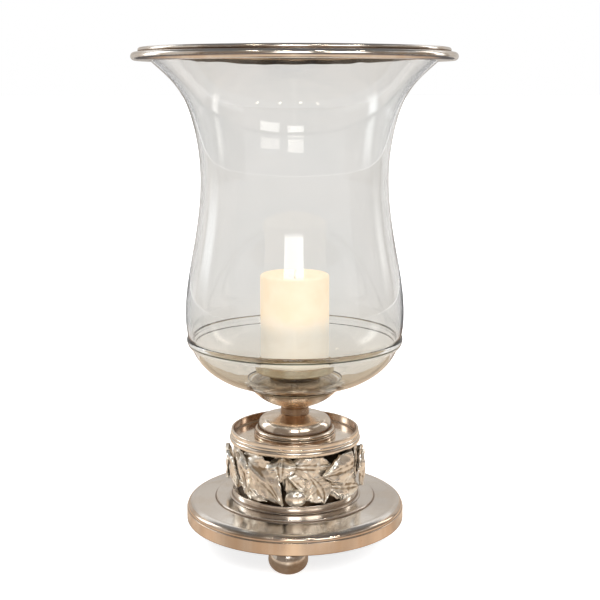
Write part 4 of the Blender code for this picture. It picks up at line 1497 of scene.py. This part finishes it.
@dataclass
class Bell:
    """Blown bell with its bead, and the rolled collar on its lip."""

    bottom: float = 0.1708
    wall: float = 0.0040
    floor: float = 0.0045
    hole: float = 0.0060
    bead_height: float = 0.0487
    bead_half: float = 0.0048
    bead_proud: float = 0.0024
    roll: float = 0.0040
    roll_out: float = 0.00650
    roll_ahead: float = 0.00213
    crest: float = 0.0023
    crest_in: float = 0.00152
    crest_ahead: float = 0.00228
    flange: float = 0.0013
    grip_inside: float = 0.0055
    grip_outside: float = 0.0074
    foot: tuple[Spot, ...] = ((0.0, 0.0465), (0.0022, 0.0492), (0.0044, 0.0560))
    stations: tuple[Spot, ...] = (
        (0.0081, 0.0696), (0.0253, 0.0940), (0.0475, 0.1063), (0.0800, 0.1100), (0.1510, 0.0997),
        (0.2110, 0.0932), (0.2723, 0.1015), (0.3068, 0.1196), (0.3334, 0.1486),
    )
    bowl_slope: float = 2.1
    rows: int = 96
    slopes: np.ndarray = field(init=False)

    def __post_init__(self) -> None:
        """Work out the slope at each station that keeps the bell's curve smooth."""
        heights, radii = np.array(self.stations).T
        gaps = np.diff(heights)
        runs = np.diff(radii) / gaps
        count = len(heights)
        system, known = np.eye(count), np.zeros(count)
        known[0], known[-1] = self.bowl_slope, runs[-1]
        for i in range(1, count - 1):
            system[i, i - 1 : i + 2] = (
                1 / gaps[i - 1], 2 / gaps[i - 1] + 2 / gaps[i], 1 / gaps[i])
            known[i] = 3 * (runs[i - 1] / gaps[i - 1] + runs[i] / gaps[i])
        self.slopes = np.linalg.solve(system, known)

    @property
    def lip(self) -> float:
        """Height of the lip above the underside of the glass."""
        return self.stations[-1][0]

    def radius(self, height: float) -> float:
        """Outer radius of the glass at a height above its underside, without the bead.

        Args:
            height: The height.

        Returns:
            The radius.
        """
        if height < self.stations[0][0]:
            spots = (*self.foot, self.stations[0])
            return float(np.interp(height, *np.array(spots).T))
        index = 0
        while index < len(self.stations) - 2 and height > self.stations[index + 1][0]:
            index += 1
        (z0, r0), (z1, r1) = self.stations[index], self.stations[index + 1]
        span = z1 - z0
        t = (height - z0) / span
        m0, m1 = self.slopes[index] * span, self.slopes[index + 1] * span
        return float(
            (2 * t**3 - 3 * t**2 + 1) * r0 + (t**3 - 2 * t**2 + t) * m0
            + (3 * t**2 - 2 * t**3) * r1 + (t**3 - t**2) * m1
        )

    def point(self, height: float, inset: float) -> Corner:
        """Point set in from the outer face of the glass, square to it.

        Args:
            height: Height above the underside of the glass.
            inset: How far in.

        Returns:
            The point, left sharp.
        """
        low, high = max(height - 0.0001, 0.0), min(height + 0.0001, self.lip)
        slope = (self.radius(high) - self.radius(low)) / (high - low)
        length = math.hypot(1.0, slope)
        return (
            self.radius(height) - inset / length,
            self.bottom + height + inset * slope / length, 0.0,
        )

    def at_lip(self, out: float, ahead: float) -> Corner:
        """Point that lies out from the lip, square to the glass, and ahead of it.

        Args:
            out: How far out.
            ahead: How far ahead.

        Returns:
            The point, left sharp.
        """
        lip, below = self.point(self.lip, 0.0), self.point(self.lip - self.wall / 4, 0.0)
        run = Vector((lip[0] - below[0], lip[1] - below[1])).normalized()
        return (lip[0] + out * run.y + ahead * run.x, lip[1] - out * run.x + ahead * run.y, 0.0)

    def heights(self, count: int) -> list[float]:
        """Heights at which the glass is drawn, closer together in the bowl and the flare."""
        shares = [i / (count - 1) for i in range(count)]
        return [self.lip * (s - 0.05 * math.sin(math.tau * s)) for s in shares]

    def glass(self) -> bpy.types.Object:
        """Blow the bell, with its bead and its flat floor.

        Returns:
            The bell.
        """
        outer = [
            (height, 0.0) for height in self.heights(self.rows)
            if abs(height - self.bead_height) > self.bead_half
        ]
        for out, rise, _ in arc((0.0, 0.0), (self.bead_proud, self.bead_half), 90, -90, 25):
            outer.append((self.bead_height + rise, out))
        outer.sort(key=lambda spot: -spot[0])
        floor_top = self.bottom + self.floor
        inner = [self.point(h, self.wall) for h in self.heights(self.rows)]
        inner = [spot for spot in inner if spot[1] > floor_top + 0.0008]
        knee = (self.point(0.0, self.wall)[0] + 0.0035, floor_top, 0.0025)
        bell = Lathe.turn("bell_glass", [
            *(self.point(h, -proud) for h, proud in outer),
            (self.hole, self.bottom, 0.0),
            (self.hole, floor_top, 0.0),
            knee,
            *inner,
        ], Round.LARGE)
        middle = self.bottom + self.bead_height
        note(bell.data, "bead", [
            float(abs(v.co.z - middle) < self.bead_half
                  and math.hypot(v.co.x, v.co.y) > self.radius(v.co.z - self.bottom) - 0.0005)
            for v in bell.data.vertices
        ])
        return bell

    def rim(self) -> bpy.types.Object:
        """Turn the collar that is rolled over the lip.

        Returns:
            The collar.
        """
        roll = self.at_lip(self.roll_out, self.roll_ahead)
        crest = self.at_lip(-self.crest_in, self.crest_ahead)
        inner_face = self.wall + CLEARANCE
        gripped = self.point(self.lip - self.grip_outside, -CLEARANCE)
        inner_low = self.lip - self.grip_inside
        inner_heights = [inner_low + self.grip_inside * i / 12 for i in range(13)]
        return Lathe.turn("rim_rolled", [
            *arc(crest[:2], (self.crest, self.crest), 112, -32, 16),
            *arc(roll[:2], (self.roll, self.roll), 92, -90, 22),
            (gripped[0] + CLEARANCE, roll[1] - self.roll, 0.0),
            gripped,
            self.at_lip(CLEARANCE, 1.5 * CLEARANCE),
            self.at_lip(-inner_face, 1.5 * CLEARANCE),
            *(self.point(h, inner_face) for h in reversed(inner_heights[:-1])),
            *(self.point(h, inner_face + self.flange) for h in inner_heights),
        ], Round.LARGE)

    def build(self) -> None:
        """Build and dress the glass and its rim."""
        dress(self.glass(), BlownGlass(), Slot.GLASS, Body.STAND, "glass_vessel")
        dress(self.rim(), SilverPlate(patches=0.7, roughness=0.09, wear=0.6),
              Slot.SILVER, Body.STAND, "rim_collar")


# Inside the glass


@dataclass
class CandlePlate:
    """Dished plate on a conical foot."""

    radius: float = 0.0404
    rim_wall: float = 0.0018
    rim: float = 0.0060
    thickness: float = 0.0042
    foot_top: float = 0.0310
    foot: float = 0.0265
    foot_bottom: float = 0.1771
    foot_height: float = 0.0084
    head: float = 0.0085
    seat: float = 0.1847

    def build(self) -> None:
        """Turn and dress the plate."""
        bottom = self.foot_bottom + self.foot_height
        floor = bottom + self.thickness
        top = floor + self.rim
        inner = self.radius - self.rim_wall
        piece = Lathe.turn("plate_spun", [
            (self.radius, top, 0.0007),
            (self.radius, bottom, 0.0012),
            (self.foot_top + 0.0015, bottom, 0.0010),
            *bow((self.foot_top, bottom), (self.foot_top - 0.0032, bottom - 0.0045),
                 (self.foot, self.foot_bottom), 12),
            (BORE_RADIUS, self.foot_bottom, 0.0),
            (BORE_RADIUS, self.seat, 0.0),
            (self.head, self.seat, 0.0),
            (self.head, floor, 0.0003),
            (inner, floor, 0.0008),
            (inner, top, 0.0007),
        ], Round.MEDIUM)
        dress(piece, SilverPlate(patches=0.9, warm=(0.50, 0.38, 0.22), bright=(0.62, 0.57, 0.45)),
              Slot.SILVER, Body.STAND, "candle_plate")


@dataclass
class Candle:
    """Pillar candle with a melt pool, and its wick."""

    radius: float = 0.0350
    bottom: float = CANDLE_BOTTOM
    top: float = CANDLE_TOP
    edge: float = 0.0025
    pool_depth: float = POOL_DEPTH
    pool_flat: float = 0.0190
    pool_slope: float = 0.0280
    wick_radius: float = 0.0011
    wick_sunk: float = 0.0140
    wick_out: float = 0.0090
    wick_clearance: float = 0.0004
    wick_rows: int = 26
    plait: float = 0.00010
    lean: float = 0.0012
    unevenness: float = 0.00022
    sag: float = 0.0007

    def soften(self, point: Vector) -> Vector:
        """Make the wax a little uneven, more near its top.

        Args:
            point: Point of the wax.

        Returns:
            The point, moved.
        """
        share = (point.z - self.bottom) / (self.top - self.bottom)
        way = Vector((point.x, point.y, 0.0))
        if way.length < 0.005:
            return point
        uneven = noise.noise(Vector((point.x * 40, point.y * 40, point.z * 18)))
        inward = self.unevenness + self.unevenness * uneven
        dip = self.sag * max(0.0, share - 0.9) * 10 * (0.5 + 0.5 * noise.noise(way * 60))
        return point - way.normalized() * inward - Vector((0.0, 0.0, dip))

    def wax(self) -> bpy.types.Object:
        """Pour the candle.

        Returns:
            The candle.
        """
        pool = self.top - self.pool_depth
        hole = self.wick_radius + self.wick_clearance
        hole_low = pool - self.wick_sunk - CLEARANCE
        rim = self.radius - self.edge
        return Lathe.turn("candle_wax", [
            (0.0, hole_low, 0.0),
            (hole, hole_low, 0.0),
            (hole, pool, 0.0003),
            (self.pool_flat, pool + 0.0006, 0.0030),
            (self.pool_slope, pool + self.pool_depth / 2, 0.0030),
            *arc((rim, self.top - self.edge), (self.edge, self.edge), 112, 0, 14),
            (self.radius, self.bottom, 0.0009),
            (0.0, self.bottom, 0.0),
        ], Round.MEDIUM, shape=self.soften)

    def wick(self) -> bpy.types.Object:
        """Plait the wick, bent a little at its burnt tip.

        Returns:
            The wick.
        """
        pool = self.top - self.pool_depth

        def bend(point: Vector) -> Vector:
            """Lean the part above the wax.

            Args:
                point: Point of the wick.

            Returns:
                The point, moved.
            """
            above = max(0.0, point.z - pool - 0.001) / self.wick_out
            twist = self.plait * math.sin(point.z * 5200 + 3 * math.atan2(point.y, point.x))
            way = Vector((point.x, point.y, 0.0))
            out = way.normalized() * twist if way.length > 0.0003 else Vector()
            return point + out + Vector((self.lean * above**2, 0.0, -0.0003 * above**2))

        low = pool - self.wick_sunk
        high = pool + self.wick_out
        side = [
            (self.wick_radius - 0.0001,
             high - 0.0008 - (high - 0.0008 - low) * i / self.wick_rows, 0.0)
            for i in range(self.wick_rows + 1)
        ]
        return Lathe.turn("wick_cotton", [
            (0.0, high, 0.0), (self.wick_radius * 0.55, high, 0.0), *side, (0.0, low, 0.0),
        ], Round.PIN, shape=bend)

    def build(self) -> None:
        """Build and dress the candle and its wick."""
        dress(self.wax(), GlowingWax(), Slot.WAX, Body.CANDLE, "candle")
        dress(self.wick(), CharredCotton(), Slot.WICK, Body.CANDLE, "wick")


@dataclass
class HiddenWork:
    """Fasteners, felts and ballast, which keep their solids."""

    steel: DarkMetal = DarkMetal((0.46, 0.455, 0.45), (0.33, 0.315, 0.30), 1.0, 0.34, 900.0)
    iron: DarkMetal = DarkMetal((0.075, 0.070, 0.066), (0.13, 0.10, 0.08), 0.7, 0.62, 260.0)
    felt: Felt = Felt()
    steel_nodes: tuple[str, ...] = (
        "foot_screw_front", "foot_screw_rear_right", "foot_screw_rear_left",
        "tie_rod", "tie_washer", "tie_nut",
    )

    def build(self) -> None:
        """Give each solid its finish."""
        for node in self.steel_nodes:
            refinish(node, self.steel)
        refinish("ballast_plate", self.iron)
        refinish("lower_felt", self.felt)
        refinish("upper_felt", self.felt)


# Studio


@dataclass(frozen=True)
class Card:
    """Upright sheet, part of a ring round the lantern, that only shows in reflections."""

    name: str
    azimuths: Spot
    heights: Spot
    radius: float
    colour: Colour
    strength: float = 1.0
    through_glass: bool = True
    bar: float = -1.0
    soft: float = 0.0


@dataclass(frozen=True)
class Sheet:
    """Level round sheet that only shows in reflections, or through the glass."""

    name: str
    height: float
    radius: float
    rings: tuple[tuple[float, Colour], ...]
    gleam: float = 0.0
    in_metal: bool = True
    through_glass: bool = False


@dataclass
class Studio:
    """Pale floor, plain soft light, cards for the silver to reflect, and the camera."""

    floor_size: float = 80.0
    floor_colour: Colour = (0.86, 0.86, 0.855)
    floor_lift: float = 0.78
    floor_lift_in_glass: float = 0.07
    sky: float = 0.42
    bar_half: float = 0.025
    bar_edge: float = 0.02
    card_grid: int = 30
    gleam_from: float = -0.14
    gleam_left: float = 0.004
    gleam_halves: Spot = (0.034, 0.006)
    gleam_colour: Colour = (2.4, 2.2, 1.9)
    lamp_softness: float = 28.0
    sensor: float = 36.0
    sight: float = 200.0
    cards: tuple[Card, ...] = (
        Card("window_front", (-12.0, 10.0), (0.590, 1.18), 1.6, DAYLIGHT, 5.2, True, 0.94, 0.03),
        Card("window_right", (19.6, 46.8), (0.660, 1.24), 1.6, DAYLIGHT, 4.6, True, 0.97, 0.03),
        Card("window_left", (-124.0, -102.0), (0.10, 2.2), 1.9, (0.93, 0.97, 1.0), 4.0, True, -1.0,
             0.35),
        Card("window_side", (108.0, 122.0), (0.10, 2.2), 1.9, DAYLIGHT, 3.2, True, -1.0, 0.35),
        Card("spot_a", (-34.0, -30.4), (1.88, 2.00), 1.5, LAMPLIGHT, 70.0),
        Card("spot_b", (-10.0, -6.4), (2.05, 2.17), 1.5, LAMPLIGHT, 70.0),
        Card("spot_c", (19.0, 22.6), (2.00, 2.12), 1.5, LAMPLIGHT, 70.0),
        Card("spot_d", (51.0, 54.6), (1.85, 1.97), 1.5, LAMPLIGHT, 70.0),
        Card("wall_front", (-70.0, 70.0), (0.0, 2.3), 2.7, (0.26, 0.215, 0.18), 1.0, False),
        Card("wall_left", (-130.0, -70.0), (0.0, 1.9), 2.7, (0.60, 0.55, 0.50)),
        Card("wall_right", (70.0, 130.0), (0.0, 1.9), 2.7, (0.32, 0.27, 0.225)),
        Card("wall_rear", (130.0, 230.0), (0.0, 1.60), 2.7, (0.62, 0.58, 0.54), 1.0, False),
    )
    sheets: tuple[Sheet, ...] = (
        # The innermost ring is dark: painted shadow of the lantern on the table.
        Sheet("table_card", 0.0004, 2.6, (
            (0.13, (0.30, 0.22, 0.16)), (0.17, (0.84, 0.68, 0.54)), (0.45, (0.90, 0.73, 0.58)),
            (0.75, (0.56, 0.44, 0.35)), (1.20, (0.15, 0.145, 0.155))), 0.30),
        Sheet("table_in_glass", 0.0006, 0.50, (
            (0.10, (0.44, 0.32, 0.20)), (0.50, (0.60, 0.50, 0.36))), 0.0, False, True),
        Sheet("ceiling", 2.3, 2.7, (
            (0.5, (0.15, 0.155, 0.165)), (2.5, (0.24, 0.235, 0.235))), 0.0, True, True),
    )
    suns: tuple[tuple[float, float, float], ...] = (
        (28.0, 42.0, 1.35), (-42.0, 50.0, 0.85), (165.0, 55.0, 0.5),
    )
    lens: float = 69.6
    eye: tuple[float, float, float] = (0.0, -1.154, 0.4758)
    pitch: float = 10.6
    yaw: float = -0.262

    @staticmethod
    def only_mirrored(piece: bpy.types.Object, in_metal: bool, through_glass: bool) -> None:
        """Hide a sheet from the camera and from soft light.

        Args:
            piece: The sheet.
            in_metal: Whether it shows in reflections.
            through_glass: Whether it shows to light that leaves the glass.
        """
        piece.visible_camera = False
        piece.visible_diffuse = False
        piece.visible_shadow = False
        piece.visible_volume_scatter = False
        piece.visible_glossy = in_metal
        piece.visible_transmission = through_glass

    def card(self, card: Card) -> None:
        """Stand one card round the lantern.

        Args:
            card: The card.
        """
        grid = self.card_grid
        points, fades, faces = [], [], []
        for i in range(grid + 1):
            across = i / grid
            angle = math.radians(card.azimuths[0] + across * (card.azimuths[1] - card.azimuths[0]))
            for j in range(grid + 1):
                up = j / grid
                height = card.heights[0] + up * (card.heights[1] - card.heights[0])
                points.append((
                    card.radius * math.sin(angle), -card.radius * math.cos(angle), height))
                edge = min(across, 1 - across, up, 1 - up)
                fades.append(ease(edge / card.soft) if card.soft else 1.0)
        for i in range(grid):
            for j in range(grid):
                a = i * (grid + 1) + j
                faces.append((a, a + grid + 1, a + grid + 2, a + 1))
        mesh = bpy.data.meshes.new(card.name)
        mesh.from_pydata(points, [], faces)
        note(mesh, "fade", fades)
        r = Recipe(card.name)
        place = r.place()
        shade = r.span(r.noise(place, 2.0, 2.0), 0.3, 0.7, 0.85, 1.1)
        if card.bar > 0.0:
            off = r.sum("ABSOLUTE", r.sum("SUBTRACT", r.parts(place)[2], card.bar))
            bar = r.span(off, self.bar_half, self.bar_half + self.bar_edge, 0.35)
            shade = r.times(shade, bar)
        light = r.light(card.colour, r.times(shade, card.strength), "Emission")
        mesh.materials.append(r.finish(r.mix(r.attribute("fade"), r.clear(), light)))
        self.only_mirrored(put(card.name, mesh), True, card.through_glass)

    def sheet(self, sheet: Sheet) -> None:
        """Lay one level sheet under or over the lantern.

        Args:
            sheet: The sheet.
        """
        mesh = bpy.data.meshes.new(sheet.name)
        with opened(mesh) as form:
            bmesh.ops.create_circle(
                form, cap_ends=True, segments=Round.SMALL.value, radius=sheet.radius)
        r = Recipe(sheet.name)
        place = r.place()
        x, y, _ = r.parts(place)
        away = r.from_axis(x, y)
        grain = r.noise(r.join(r.times(x, 0.2), y, 0.0), 9.0, 4.0, 0.6)
        colour: object = sheet.rings[0][1]
        for (low, _), (high, outer) in zip(sheet.rings, sheet.rings[1:]):
            colour = r.blend(r.span(away, low, high), colour, outer)
        if sheet.gleam > 0.0:
            ahead = r.sum("LESS_THAN", y, self.gleam_from)
            off = r.sum("ABSOLUTE", r.plus(x, self.gleam_left))
            stripe = r.span(off, *self.gleam_halves, 0.0, sheet.gleam)
            colour = r.blend(r.times(stripe, ahead), colour, self.gleam_colour)
        light = r.light(colour, r.span(grain, 0.3, 0.7, 0.72, 1.2), "Emission")
        mesh.materials.append(r.finish(light))
        piece = put(sheet.name, mesh, (0.0, 0.0, sheet.height))
        self.only_mirrored(piece, sheet.in_metal, sheet.through_glass)

    def floor(self) -> None:
        """Lay the pale floor, which keeps the lantern's shadow."""
        mesh = bpy.data.meshes.new("floor")
        half = self.floor_size / 2
        mesh.from_pydata(
            [(-half, -half, 0), (half, -half, 0), (half, half, 0), (-half, half, 0)], [],
            [(0, 1, 2, 3)])
        r = Recipe("floor")
        paper = r.noise(r.place(), 3.0, 3.0)
        colour = r.blend(r.span(paper, 0.3, 0.7), self.floor_colour, (0.85, 0.85, 0.85))
        ray = r.node("LightPath").outputs
        through = ray["Is Transmission Ray"]
        plain = r.sum("SUBTRACT", 1.0, through)
        seen = r.sum("MAXIMUM", ray["Is Camera Ray"], ray["Is Glossy Ray"])
        lift = r.plus(
            r.times(r.times(seen, plain), self.floor_lift),
            r.times(through, self.floor_lift_in_glass))
        mesh.materials.append(r.finish(r.principled(
            Base_Color=colour, Roughness=1.0, Specular_IOR_Level=0.0,
            Emission_Color=(1.0, 1.0, 1.0), Emission_Strength=lift)))
        piece = put("floor", mesh)

    def backdrop(self) -> None:
        """Set a world that looks white and lights softly."""
        r = Recipe("backdrop", world=True)
        ray = r.node("LightPath").outputs
        either = r.sum("MAXIMUM", ray["Is Glossy Ray"], ray["Is Transmission Ray"])
        seen = r.sum("MAXIMUM", ray["Is Camera Ray"], either)
        level = r.span(seen, 0.0, 1.0, self.sky, 1.0)
        bpy.context.scene.world = r.finish(r.light((1.0, 1.0, 1.0), level, "Background"))

    def lamps(self) -> None:
        """Hang soft lamps that light the lantern without showing in it."""
        for number, (azimuth, elevation, strength) in enumerate(self.suns):
            lamp = bpy.data.lights.new(f"soft_lamp_{number}", "SUN")
            lamp.energy = strength
            lamp.angle = math.radians(self.lamp_softness)
            holder = put(lamp.name, lamp)
            holder.rotation_euler = (math.radians(90 - elevation), 0.0, math.radians(azimuth))
            holder.visible_glossy = False
            holder.visible_transmission = False

    def camera(self) -> None:
        """Stand the camera where the photograph was taken from."""
        data = bpy.data.cameras.new("camera")
        data.lens = self.lens
        data.sensor_width = self.sensor
        data.clip_end = self.sight
        holder = put("camera", data, self.eye)
        holder.rotation_euler = (math.radians(90 - self.pitch), 0.0, math.radians(self.yaw))
        bpy.context.scene.camera = holder

    def build(self) -> None:
        """Set up the whole studio."""
        bpy.context.scene.view_settings.view_transform = "Standard"
        self.floor()
        self.backdrop()
        for card in self.cards:
            self.card(card)
        for sheet in self.sheets:
            self.sheet(sheet)
        self.lamps()
        self.camera()
        LOG.info("studio: %d cards, %d lamps", len(self.cards) + len(self.sheets), len(self.suns))


def main() -> None:
    """Build the lantern from the feet up, then the studio."""
    logging.basicConfig(level=logging.INFO, format="%(message)s")
    for assembly in (
        Feet(), Base(), Drum(), Garland(), Tray(), Socle(), GlassCup(), Bell(), CandlePlate(),
        Candle(), HiddenWork(), Studio(),
    ):
        assembly.build()


if __name__ == "__main__":
    main()
